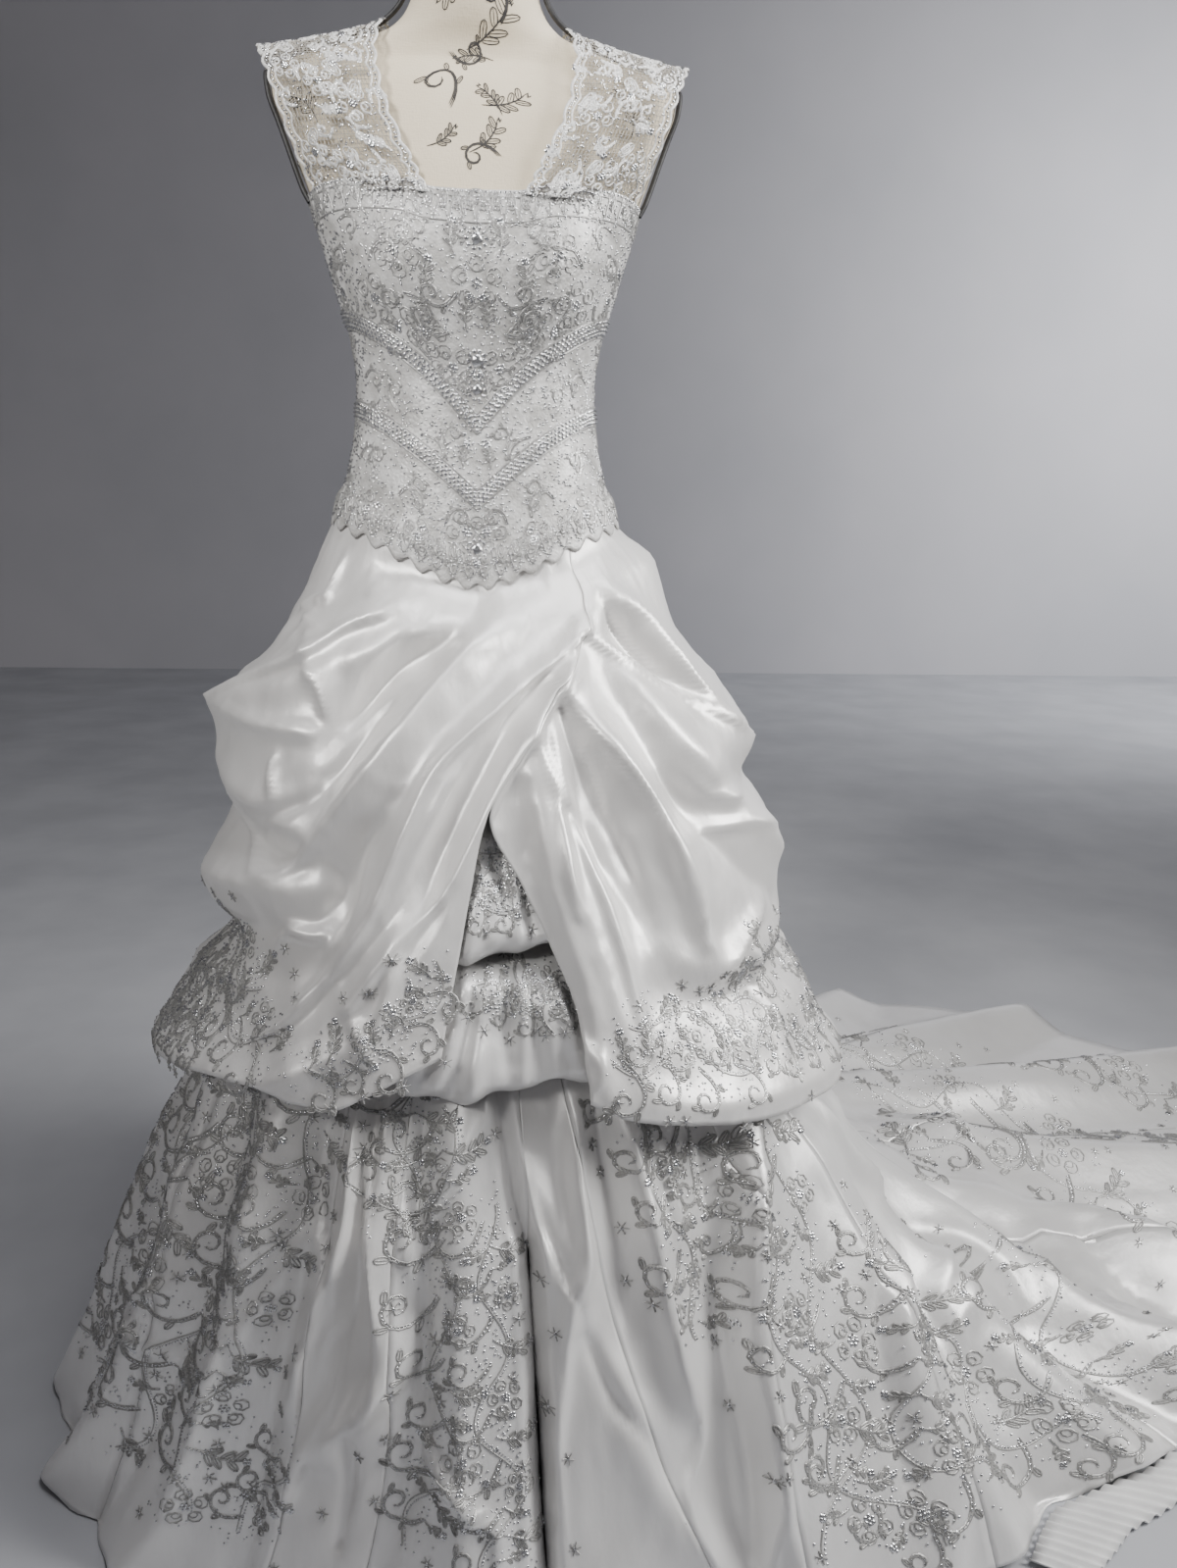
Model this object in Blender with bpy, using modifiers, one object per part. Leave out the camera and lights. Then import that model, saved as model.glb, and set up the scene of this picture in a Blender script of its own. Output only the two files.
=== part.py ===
"""A wedding dress with a picked-up overskirt and a train, on a limbless dress form.

Metres, +Z up. The form's axis is the Z axis, the front faces -Y and the floor is z = 0.
Angles run round the axis from the front: 0 is the front, +90 is +X, 180 is the back.
"""

from collections import namedtuple
from math import radians

import bmesh
import bpy
import numpy as np

# ---------------------------------------------------------------- driving dimensions
SEAM_GAP = 0.0003  # between two pieces that are sewn together
SATIN = 0.0015  # thickness of the skirts' cloth
BODICE_CLOTH = 0.0018  # satin, net and beading of the bodice
LACE = 0.0016  # thickness of the strap lace
TUCK = 0.014  # how far the skirts reach up under the bodice's edge
BUST = (0.015, 1.168, 0.054, 25)  # general bust: depth, height, spread up and down, spread in degrees
BUST_ANGLE = 33
BODICE_EASE = 0.0022  # the bodice stands this far off the form
UNDER_FACE = 0.0024  # outer face of the underskirt above the form, under the bodice
OVER_FACE = 0.0048  # outer face of the overskirt there
BASQUE_FACE = 0.0060  # inner face of the bodice there
KNEE = 0.330  # the skirt falls to here, then runs out to its hem
KNEE_AT = 0.60  # share of the way from hip to hem where the knee row is
FORM_BOTTOM = 0.800
FORM_ROWS = (
    FORM_BOTTOM, 0.860, 0.905, 0.950, 0.980, 1.010, 1.040, 1.070, 1.095, 1.118, 1.140, 1.158, 1.175, 1.192,
    1.212, 1.238, 1.265, 1.290, 1.320, 1.338, 1.348, 1.356, 1.365, 1.375, 1.390, 1.410, 1.450,
)
NECK_TOP = 1.450
PICK_UP = 46.0  # angle of the point where both swags are gathered up
SIDE = 95.0  # angle of the overskirt's side seams
ZIP_WIDTH = 0.008
POLE_RADIUS = 0.014
BASE_RADIUS = 0.170
BASE_HEIGHT = 0.022
FLOOR_SKIN = 0.0021  # outer face of cloth that lies on the floor

# ---------------------------------------------------------------- tables of sections
# height, half width, depth in front, depth behind, roundness of the section
FORM = np.array((
    (0.800, 0.152, 0.104, 0.118, 2.2),
    (0.860, 0.154, 0.104, 0.120, 2.2),
    (0.905, 0.145, 0.101, 0.112, 2.2),
    (0.950, 0.132, 0.096, 0.100, 2.2),
    (1.000, 0.118, 0.091, 0.086, 2.2),
    (1.035, 0.111, 0.088, 0.080, 2.2),
    (1.070, 0.109, 0.087, 0.078, 2.2),
    (1.105, 0.112, 0.090, 0.081, 2.2),
    (1.150, 0.125, 0.096, 0.086, 2.2),
    (1.190, 0.137, 0.097, 0.090, 2.2),
    (1.238, 0.152, 0.090, 0.092, 2.3),
    (1.290, 0.171, 0.074, 0.090, 2.3),
    (1.320, 0.183, 0.060, 0.080, 2.2),
    (1.338, 0.184, 0.046, 0.068, 2.1),
    (1.348, 0.168, 0.040, 0.060, 2.0),
    (1.356, 0.140, 0.040, 0.058, 2.0),
    (1.365, 0.108, 0.042, 0.057, 2.0),
    (1.375, 0.080, 0.046, 0.056, 2.0),
    (1.390, 0.064, 0.049, 0.055, 2.0),
    (1.410, 0.056, 0.050, 0.054, 2.0),
    (1.450, 0.053, 0.050, 0.052, 2.0),
))
# angle either side of the front, height of the bodice's top edge
NECKLINE = np.array((
    (0, 1.226), (20, 1.227), (35, 1.2345), (60, 1.237), (80, 1.232),
    (95, 1.222), (120, 1.205), (150, 1.192), (180, 1.188),
))
# angle either side of the front, height of the bodice's lower edge
BASQUE = np.array((
    (0, 0.893), (15, 0.900), (35, 0.918), (60, 0.940), (90, 0.952), (130, 0.948), (180, 0.930),
))
# height, half width to -X, half width to +X, depth in front, depth behind
OVERSKIRT = np.array((
    (0.340, 0.300, 0.400, 0.325, 0.368),
    (0.366, 0.303, 0.398, 0.322, 0.367),
    (0.408, 0.321, 0.390, 0.316, 0.362),
    (0.446, 0.322, 0.368, 0.308, 0.354),
    (0.464, 0.315, 0.360, 0.302, 0.349),
    (0.490, 0.294, 0.347, 0.292, 0.334),
    (0.515, 0.270, 0.330, 0.281, 0.326),
    (0.557, 0.246, 0.309, 0.262, 0.312),
    (0.600, 0.267, 0.312, 0.247, 0.297),
    (0.624, 0.266, 0.309, 0.240, 0.290),
    (0.672, 0.243, 0.295, 0.225, 0.274),
    (0.709, 0.248, 0.272, 0.213, 0.258),
    (0.742, 0.251, 0.280, 0.201, 0.243),
    (0.771, 0.251, 0.265, 0.188, 0.228),
    (0.790, 0.237, 0.250, 0.178, 0.216),
    (0.818, 0.207, 0.226, 0.162, 0.198),
    (0.858, 0.178, 0.194, 0.135, 0.166),
    (0.904, 0.157, 0.180, 0.108, 0.135),
    (0.930, 0.148, 0.170, 0.100, 0.120),
    (0.966, 0.134, 0.145, 0.094, 0.103),
))
UNDERSKIRT = np.array((
    (0.330, 0.318, 0.385, 0.292, 0.380),
    (0.380, 0.290, 0.345, 0.271, 0.330),
    (0.440, 0.272, 0.315, 0.247, 0.300),
    (0.500, 0.246, 0.290, 0.223, 0.282),
    (0.570, 0.226, 0.268, 0.203, 0.262),
    (0.640, 0.220, 0.250, 0.186, 0.240),
    (0.720, 0.205, 0.228, 0.168, 0.212),
    (0.800, 0.180, 0.190, 0.138, 0.172),
    (0.860, 0.160, 0.164, 0.110, 0.135),
    (0.904, 0.147, 0.149, 0.099, 0.115),
    (0.966, 0.128, 0.130, 0.090, 0.098),
))
# angle, distance of the hem from the axis
HEM = np.array((
    (0, 0.385), (30, 0.440), (45, 0.510), (56, 0.573), (65, 0.635), (70, 0.680), (75, 0.766),
    (80, 0.930), (85, 1.160), (90, 1.330), (97, 1.450), (106, 1.490), (115, 1.460), (123, 1.400),
    (134, 1.335), (145, 1.170), (155, 0.930), (165, 0.740), (175, 0.620), (185, 0.550),
    (200, 0.500), (230, 0.470), (270, 0.455), (290, 0.445), (306, 0.425), (320, 0.385),
    (335, 0.370), (350, 0.378), (360, 0.385),
))
# share of the way down, then height and share of the way out where the skirt stands,
# and the same two where it lies as a train
FALL = np.array((
    (0.60, 0.330, 0.00, 0.330, 0.000),
    (0.65, 0.285, 0.12, 0.235, 0.055),
    (0.70, 0.240, 0.26, 0.155, 0.120),
    (0.76, 0.185, 0.43, 0.095, 0.240),
    (0.83, 0.120, 0.60, 0.058, 0.420),
    (0.91, 0.055, 0.82, 0.030, 0.680),
    (1.00, 0.002, 1.00, 0.002, 1.000),
))

# ---------------------------------------------------------------- tables of folds
# Each fold runs down its path of (angle, height or share) stations. Its height and its widths
# to the left and right, as seen from outside, are in millimetres; a negative height is a
# trough. head and foot are the shares of its height that it keeps at its two ends.
Fold = namedtuple("Fold", "height left right head foot path")

LEFT_SWAG_FOLDS = (
    Fold(13, 20, 22, 0.3, 0.5, ((38, 0.925), (-8, 0.896), (-33, 0.872), (-50, 0.842), (-75, 0.846))),
    Fold(18, 30, 26, 0.3, 0.8, ((42, 0.905), (11, 0.888), (-29, 0.842), (-54, 0.808), (-82, 0.779))),
    Fold(-18, 14, 26, 0.2, 0.2, ((6, 0.868), (-18, 0.835), (-30, 0.805), (-36, 0.772), (-36, 0.735))),
    Fold(16, 12, 34, 0.4, 0.3, ((30, 0.895), (13, 0.884), (-11, 0.815), (-21, 0.759), (-31, 0.702), (-36, 0.679))),
    Fold(20, 26, 22, 0.5, 0.5, ((45, 0.880), (16, 0.807), (-2, 0.744), (-12, 0.680), (-16, 0.608), (-22, 0.557), (-32, 0.509))),
    Fold(-13, 16, 12, 0.3, 0.2, ((33, 0.856), (8, 0.776), (-4, 0.705), (-10, 0.648), (-13, 0.600))),
    Fold(9, 12, 14, 0.6, 0.4, ((30, 0.835), (15, 0.785), (4, 0.730), (-2, 0.665), (-8, 0.605), (-15, 0.555), (-20, 0.505))),
    Fold(-18, 20, 16, 0.2, 0.3, ((-20, 0.715), (-26, 0.670), (-28, 0.629), (-31, 0.580))),
    Fold(12, 20, 20, 0.3, 0.3, ((-34, 0.676), (-45, 0.690), (-63, 0.708), (-85, 0.735))),
    Fold(-10, 16, 16, 0.3, 0.3, ((-36, 0.655), (-50, 0.658), (-70, 0.668), (-90, 0.675))),
    Fold(10, 16, 18, 0.3, 0.6, ((-34, 0.640), (-48, 0.634), (-66, 0.622), (-90, 0.605))),
    Fold(-10, 16, 16, 0.3, 0.5, ((-34, 0.600), (-50, 0.590), (-70, 0.570), (-92, 0.556))),
    Fold(12, 22, 22, 0.3, 0.6, ((-36, 0.545), (-55, 0.540), (-75, 0.520), (-94, 0.500))),
    Fold(12, 18, 20, 0.5, 0.5, ((-18, 0.545), (-24, 0.512), (-37, 0.482), (-55, 0.472), (-80, 0.450))),
)
RIGHT_SWAG_FOLDS = (
    Fold(14, 16, 26, 0.4, 0.5, ((46, 0.905), (58, 0.860), (66, 0.800), (74, 0.745))),
    Fold(-16, 16, 16, 0.3, 0.3, ((44, 0.875), (52, 0.832), (60, 0.806), (74, 0.775))),
    Fold(15, 18, 28, 0.4, 0.6, ((42, 0.856), (46, 0.788), (57, 0.717), (72, 0.655), (88, 0.610))),
    Fold(-9, 16, 16, 0.3, 0.4, ((38, 0.835), (42, 0.770), (50, 0.690), (62, 0.625), (74, 0.585))),
    Fold(15, 18, 22, 0.5, 0.3, ((26, 0.822), (34, 0.740), (43, 0.650), (46, 0.575))),
    Fold(-10, 16, 18, 0.3, 0.3, ((20, 0.790), (24, 0.710), (31, 0.630), (37, 0.560))),
    Fold(13, 16, 20, 0.6, 0.5, ((15, 0.770), (17, 0.690), (22, 0.610), (25, 0.540), (27, 0.480))),
    Fold(10, 8, 14, 0.7, 0.6, ((12, 0.740), (15, 0.649), (20, 0.557), (21, 0.480))),
    Fold(14, 20, 24, 0.4, 0.6, ((36, 0.585), (46, 0.560), (62, 0.556), (80, 0.566))),
    Fold(-12, 18, 18, 0.3, 0.5, ((40, 0.535), (55, 0.525), (75, 0.528), (92, 0.540))),
    Fold(10, 20, 20, 0.4, 0.6, ((24, 0.470), (40, 0.452), (60, 0.436), (84, 0.420))),
)
SKIRT_FOLDS = (
    Fold(-22, 14, 13, 0.7, 1.0, ((4, 0.455), (7, 0.554), (9, 0.616), (9, 0.704), (9, 0.824), (9, 1.0))),
    Fold(15, 14, 16, 0.8, 0.3, ((5, 0.480), (12, 0.592), (16, 0.659))),
    Fold(14, 12, 13, 0.8, 0.4, ((20, 0.460), (18, 0.611), (16, 0.662))),
    Fold(16, 26, 15, 0.3, 1.0, ((17, 0.665), (22, 0.739), (27, 0.851), (31, 0.906), (34, 1.0))),
    Fold(-13, 12, 12, 0.8, 0.2, ((24, 0.460), (24, 0.580), (24, 0.700))),
    Fold(15, 14, 16, 0.8, 0.2, ((29, 0.460), (30, 0.643), (30, 0.724), (31, 0.790))),
    Fold(-22, 28, 12, 0.7, 0.8, ((48, 0.480), (42, 0.600), (37, 0.720), (34, 0.860), (33, 1.0))),
    Fold(20, 12, 46, 0.7, 0.8, ((55, 0.480), (48, 0.600), (42, 0.720), (39, 0.860), (38, 1.0))),
    Fold(12, 26, 26, 0.6, 1.0, ((66, 0.500), (62, 0.700), (56, 0.850), (52, 1.0))),
    Fold(17, 12, 12, 0.8, 0.5, ((-24, 0.460), (-22, 0.578), (-26, 0.669), (-30, 0.760))),
    Fold(-9, 9, 9, 0.8, 0.3, ((-21, 0.470), (-20, 0.600), (-21, 0.720))),
    Fold(17, 11, 15, 0.8, 0.8, ((-18, 0.460), (-17, 0.591), (-14, 0.690), (-16, 0.740), (-23, 0.790))),
    Fold(-14, 14, 12, 0.8, 0.6, ((-11, 0.460), (-10, 0.620), (-8, 0.730), (-12, 0.860), (-18, 1.0))),
    Fold(15, 24, 26, 0.7, 1.0, ((-3, 0.460), (-3, 0.650), (-2, 0.800), (0, 1.0))),
    Fold(-16, 16, 16, 0.7, 1.0, ((-31, 0.460), (-31, 0.626), (-34, 0.775), (-36, 1.0))),
    Fold(20, 24, 24, 0.7, 1.0, ((-42, 0.460), (-40, 0.643), (-44, 0.826), (-50, 1.0))),
    Fold(-15, 16, 18, 0.6, 1.0, ((-53, 0.460), (-49, 0.650), (-54, 0.830), (-60, 1.0))),
    Fold(20, 24, 24, 0.6, 1.0, ((-66, 0.460), (-58, 0.672), (-62, 0.823), (-70, 1.0))),
    Fold(-14, 18, 18, 0.6, 1.0, ((-76, 0.460), (-70, 0.700), (-73, 0.850), (-78, 1.0))),
    Fold(18, 26, 26, 0.6, 1.0, ((-90, 0.460), (-84, 0.700), (-84, 0.850), (-88, 1.0))),
)
TRAIN_FOLDS = (
    Fold(24, 34, 34, 0.5, 1.0, ((70, 0.600), (64, 0.740), (60, 0.880), (58, 1.0))),
    Fold(-18, 30, 30, 0.4, 1.0, ((76, 0.620), (70, 0.760), (66, 0.900), (65, 1.0))),
    Fold(30, 40, 44, 0.5, 1.0, ((84, 0.600), (76, 0.740), (73, 0.880), (72, 1.0))),
    Fold(-26, 34, 34, 0.4, 0.7, ((92, 0.640), (84, 0.760), (79, 0.880), (77, 1.0))),
    Fold(34, 44, 50, 0.5, 0.9, ((104, 0.660), (92, 0.750), (84, 0.860), (81, 1.0))),
    Fold(-28, 44, 38, 0.4, 0.7, ((106, 0.720), (98, 0.765), (88, 0.830), (86, 1.0))),
    Fold(32, 50, 44, 0.4, 0.9, ((110, 0.740), (103, 0.790), (94, 0.850), (91, 1.0))),
    Fold(-26, 40, 50, 0.3, 0.7, ((122, 0.760), (110, 0.765), (101, 0.810), (97, 0.900), (96, 1.0))),
    Fold(36, 60, 60, 0.4, 0.9, ((122, 0.740), (113, 0.800), (106, 0.870), (103, 1.0))),
    Fold(-22, 50, 50, 0.3, 0.8, ((124, 0.800), (116, 0.860), (110, 1.0))),
    Fold(40, 56, 60, 0.4, 1.0, ((134, 0.740), (127, 0.840), (120, 0.920), (117, 1.0))),
    Fold(-24, 50, 50, 0.3, 0.8, ((134, 0.820), (127, 0.900), (123, 1.0))),
    Fold(40, 50, 50, 0.4, 1.0, ((144, 0.740), (137, 0.840), (132, 0.930), (129, 1.0))),
    Fold(-20, 44, 44, 0.3, 0.8, ((146, 0.800), (140, 0.900), (136, 1.0))),
    Fold(34, 44, 44, 0.5, 1.0, ((154, 0.660), (150, 0.800), (146, 0.900), (143, 1.0))),
    Fold(-18, 34, 34, 0.4, 0.9, ((160, 0.640), (156, 0.800), (152, 1.0))),
    Fold(28, 34, 34, 0.5, 1.0, ((168, 0.560), (165, 0.760), (162, 1.0))),
)
# The back and the hidden side hang in like folds: angle, height, width, turn towards the hem.
BACK_FOLDS = (
    (178, 22, 26, -3), (190, -14, 20, -2), (201, 20, 25, -1), (213, -15, 20, 0), (224, 22, 27, 1),
    (236, -13, 20, 2), (247, 19, 24, 3), (258, -12, 19, 3),
)
# The back of the overskirt is draped from both side seams: height of the drape at the centre
# back and at the seams, fold height, fold width.
BACK_DRAPES = (
    (0.860, 0.905, 10, 18), (0.800, 0.860, 13, 22), (0.735, 0.800, 15, 24), (0.665, 0.735, 15, 24),
    (0.590, 0.665, 14, 24), (0.520, 0.590, 13, 22), (0.455, 0.500, 11, 20),
)

# ---------------------------------------------------------------- tables of cut edges
# share down, angle, height: the left swag's leading edge, from the pick-up to its hem
LEAD = np.array((
    (0.00, 46.0, 0.943), (0.03, 45.0, 0.927), (0.14, 36, 0.855), (0.26, 20, 0.804),
    (0.37, 10, 0.753), (0.48, 2, 0.705), (0.62, -1, 0.650), (0.74, -3, 0.600),
    (0.88, -5, 0.550), (1.00, -6, 0.512),
))
# the right swag's front edge: along the same line to the top of the gap, then away from it
RIGHT_LEAD = np.array((
    (0.00, 46.0, 0.943), (0.03, 45.0, 0.927), (0.14, 36, 0.855), (0.26, 20, 0.804),
    (0.37, 10, 0.753), (0.48, 2.6, 0.705), (0.62, 9, 0.650), (0.74, 14, 0.600),
    (0.88, 18, 0.535), (1.00, 18, 0.472),
))
# angle, height: the swags' hems
LEFT_HEM = np.array((
    (-95, 0.420), (-75, 0.440), (-60, 0.458), (-45, 0.474), (-37, 0.476), (-30, 0.469),
    (-24, 0.467), (-18, 0.480), (-12, 0.497), (-6, 0.512),
))
RIGHT_HEM = np.array((
    (18, 0.472), (24, 0.456), (33, 0.443), (48, 0.426), (60, 0.418), (74, 0.404), (95, 0.395),
))
BACK_HEM = np.array(((95, 0.395), (120, 0.415), (150, 0.385), (180, 0.405), (210, 0.385), (240, 0.420), (265, 0.420)))
# name, seam on the left at the hip, knee, shin and hem, the same on the right, columns
GORES = (
    ("skirt_front", (-10, -14, -13, -18), (6, 9, 9, 9), 8),
    ("godet_front", (6, 9, 9, 9), (12, 20, 23, 33), 6),
    ("skirt_front_right", (12, 20, 23, 33), (36, 48, 42, 38), 5),
    ("skirt_side_right", (36, 48, 42, 38), (64, 64, 62, 56), 5),
    ("train_near", (64, 64, 62, 56), (88, 86, 80, 75), 5),
    ("train_near_middle", (88, 86, 80, 75), (106, 104, 98, 91), 6),
    ("train_middle", (106, 104, 98, 91), (124, 122, 117, 110), 6),
    ("train_far", (124, 122, 117, 110), (144, 142, 138, 132), 6),
    ("train_back", (144, 142, 138, 132), (166, 166, 165, 162), 6),
    ("skirt_back", (166, 166, 165, 162), (196, 196, 196, 196), 6),
    ("skirt_back_left", (196, 196, 196, 196), (230, 230, 230, 230), 6),
    ("skirt_side_left", (230, 230, 230, 230), (262, 262, 262, 264), 6),
    ("skirt_left", (262, 262, 262, 264), (294, 302, 304, 300), 6),
    ("skirt_front_left", (294, 302, 304, 300), (332, 334, 333, 328), 7),
    ("godet_left", (332, 334, 333, 328), (350, 346, 347, 342), 4),
)
SHIN_AT = 0.72  # share of the way down where the seams have their third station
# shares of the way down; the first rows of both skirts lie at about the same heights
GORE_ROWS = (0, 0.016, 0.034, 0.054, 0.085, 0.44, 0.51, 0.58, 0.64, 0.70, 0.76, 0.82, 0.88, 0.94, 1.0)
SWAG_ROWS = (0, 0.03, 0.064, 0.102, 0.16, 0.23, 0.30, 0.37, 0.44, 0.51, 0.58, 0.65, 0.72, 0.79, 0.86, 0.93, 1)
BACK_SWAG_ROWS = (0, 0.03, 0.064, 0.102, 0.16, 0.27, 0.39, 0.51, 0.63, 0.75, 0.88, 1)
LEAST_HIP = 0.12  # radius of the skirts at their tops, for the seam gaps
# height and depth in front of the two puffs in the gap between the swags
UPPER_PUFF = np.array((
    (0.585, 0.232), (0.592, 0.239), (0.604, 0.243), (0.622, 0.240), (0.650, 0.222), (0.680, 0.207), (0.720, 0.196),
))
LOWER_PUFF = np.array((
    (0.468, 0.258), (0.474, 0.267), (0.486, 0.272), (0.505, 0.270), (0.530, 0.261), (0.560, 0.246), (0.590, 0.224),
))
PUFF_ANGLES = (-15, 27)
PUFF_RIPPLE = 0.004  # height of the small gathers
PUFF_RIPPLES = 26  # gathers in a full turn
PUFF_ROOM = 0.004  # space kept inside the swags
PUFF_SEAT = 0.0008  # space kept off the underskirt at the sewn top edge
STRAIGHT_RUN = (0.085, 0.44)  # the two rows of the underskirt that the puffs are sewn between
LINING_ANGLES = (58, 75)
LINING_PLEATS = 35
LINING_REACH = 0.070  # how far the pleated lining shows beyond the hem
# Rows of the bodice front: height at the centre, height at the side seam, how far the beading
# is raised. The two V-shaped bands are the chevrons.
BODICE_ROWS = (
    (1.2260, 1.2320, 0.0008), (1.2060, 1.2110, 0.0010), (1.1980, 1.2050, 0.0000),
    (1.1620, 1.1880, 0.0000), (1.1200, 1.1690, 0.0000), (1.0800, 1.1520, 0.0000),
    (1.0440, 1.1380, 0.0000), (1.0400, 1.1340, 0.0012), (1.0280, 1.1240, 0.0012),
    (1.0240, 1.1200, 0.0000), (0.9780, 1.0590, 0.0000),
    (0.9740, 1.0550, 0.0012), (0.9620, 1.0440, 0.0012), (0.9580, 1.0400, 0.0000),
    (0.9300, 0.9900, 0.0006), (0.9100, 0.9660, 0.0010), (0.8930, 0.9490, 0.0010),
)
BODICE_SIDE = 84.0  # angle of the bodice's side seams
BACK_ROWS = (0.22, 0.36, 0.50, 0.64, 0.76, 0.86, 0.93, 1.0)  # shares of the back's height
# Strap sections from the front root over the shoulder to the back root: inner edge, middle and
# outer edge, each as (x, y, z)
STRAP = np.array((
    ((0.046, -0.098, 1.2345), (0.098, -0.083, 1.2378), (0.148, -0.034, 1.2378)),
    ((0.055, -0.096, 1.2520), (0.108, -0.079, 1.2580), (0.158, -0.040, 1.2600)),
    ((0.071, -0.086, 1.2850), (0.120, -0.073, 1.2880), (0.170, -0.044, 1.2900)),
    ((0.081, -0.072, 1.3180), (0.130, -0.063, 1.3200), (0.180, -0.040, 1.3200)),
    ((0.085, -0.055, 1.3470), (0.136, -0.047, 1.3440), (0.188, -0.031, 1.3410)),
    ((0.081, -0.034, 1.3730), (0.136, -0.026, 1.3610), (0.193, -0.018, 1.3530)),
    ((0.077, 0.000, 1.3840), (0.136, 0.003, 1.3660), (0.195, 0.004, 1.3570)),
    ((0.081, 0.040, 1.3730), (0.136, 0.036, 1.3610), (0.192, 0.028, 1.3530)),
    ((0.086, 0.066, 1.3470), (0.136, 0.064, 1.3400), (0.186, 0.046, 1.3350)),
    ((0.088, 0.084, 1.3100), (0.134, 0.079, 1.3050), (0.176, 0.056, 1.3000)),
    ((0.086, 0.092, 1.2650), (0.126, 0.084, 1.2600), (0.162, 0.056, 1.2580)),
    ((0.080, 0.0945, 1.2115), (0.116, 0.0800, 1.2170), (0.1450, 0.0330, 1.2250)),
))
STRAP_COLUMNS = 10
STRAP_ROWS = 17


# ---------------------------------------------------------------- curves and surfaces
def through(x, xs, ys):
    """Smooth curve through a table's rows that never overshoots them."""
    x, xs, ys = (np.asarray(values, float) for values in (x, xs, ys))
    step = np.diff(xs)
    slope = np.diff(ys) / step
    tangent = np.zeros(len(xs))
    same = slope[:-1] * slope[1:] > 0
    tangent[1:-1][same] = 2 * (slope[:-1] * slope[1:])[same] / (slope[:-1] + slope[1:])[same]
    tangent[0], tangent[-1] = slope[0], slope[-1]
    i = np.clip(np.searchsorted(xs, x, side="right") - 1, 0, len(xs) - 2)
    t = np.clip((x - xs[i]) / step[i], 0, 1)
    ends = (2 * t**3 - 3 * t**2 + 1) * ys[i] + (3 * t**2 - 2 * t**3) * ys[i + 1]
    return ends + ((t**3 - 2 * t**2 + t) * tangent[i] + (t**3 - t**2) * tangent[i + 1]) * step[i]


def ease(x):
    x = np.clip(x, 0, 1)
    return x * x * (3 - 2 * x)


def ring(angle, width, front, back, power):
    """Distance from the axis of a rounded section, at an angle from the front."""
    ahead = np.cos(angle)
    depth = np.where(ahead > 0, front, back)
    return (np.abs(np.sin(angle) / width) ** power + np.abs(ahead / depth) ** power) ** (-1 / power)


def at(angle, radius, height):
    return np.stack([radius * np.sin(angle), -radius * np.cos(angle), height], -1)


def turned(angle):
    """Degrees either side of the front, 0 to 180."""
    return np.degrees(np.abs((angle + np.pi) % (2 * np.pi) - np.pi))


def form_radius(angle, height):
    width, front, back, power = (through(height, FORM[:, 0], FORM[:, k]) for k in (1, 2, 3, 4))
    radius = ring(angle, width, front, back, power)
    for side in (-BUST_ANGLE, BUST_ANGLE):
        bust = ((angle - radians(side)) / radians(BUST[3])) ** 2 + ((height - BUST[1]) / BUST[2]) ** 2
        radius = radius + BUST[0] * np.exp(-bust)
    return radius


def neckline(angle):
    return through(turned(angle), NECKLINE[:, 0], NECKLINE[:, 1])


def basque(angle):
    return through(turned(angle), BASQUE[:, 0], BASQUE[:, 1])


def skirt_radius(angle, height, table, face):
    """Lies flat on the form under the bodice, then swings out to the table's sections."""
    lying = form_radius(angle, np.maximum(height, FORM_BOTTOM)) + face
    side = np.where(
        np.sin(angle) < 0,
        through(height, table[:, 0], table[:, 1]),
        through(height, table[:, 0], table[:, 2]),
    )
    front, back = (through(height, table[:, 0], table[:, k]) for k in (3, 4))
    free = ease((basque(angle) - 0.002 - height) / 0.035)
    return lying + free * np.maximum(0, ring(angle, side, front, back, 2.15) - lying)


def over_base(angle, height):
    angle, height = np.broadcast_arrays(angle, height)
    return at(angle, skirt_radius(angle, height, OVERSKIRT, OVER_FACE), height)


def hem_radius(angle):
    return through(np.degrees(angle) % 360, HEM[:, 0], HEM[:, 1])


def under_base(angle, down):
    """The underskirt without its folds: from the hip (0) past the knee row to the hem (1)."""
    angle, down = np.broadcast_arrays(np.asarray(angle, float), np.asarray(down, float))
    top = basque(angle) + TUCK
    upper = top + (KNEE - top) * np.minimum(down, KNEE_AT) / KNEE_AT
    radius = skirt_radius(angle, upper, UNDERSKIRT, UNDER_FACE)
    lower = np.clip(down, KNEE_AT, 1)
    stand_z, stand_out, lie_z, lie_out = (through(lower, FALL[:, 0], FALL[:, k]) for k in (1, 2, 3, 4))
    train = ease((hem_radius(angle) - 0.50) / 0.60)
    height = np.where(down < KNEE_AT, upper, stand_z + (lie_z - stand_z) * train)
    out = np.where(down < KNEE_AT, 0, stand_out + (lie_out - stand_out) * train)
    return at(angle, radius + (hem_radius(angle) - radius) * out, height)


def normal_of(surface, angle, down, drop, turn=radians(2)):
    """Outward normal, from points a little to each side and a drop above and below."""
    across = surface(angle + turn, down) - surface(angle - turn, down)
    along = surface(angle, down + drop) - surface(angle, down - drop)
    normal = np.cross(along, across)
    return normal / np.linalg.norm(normal, axis=-1, keepdims=True)


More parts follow.
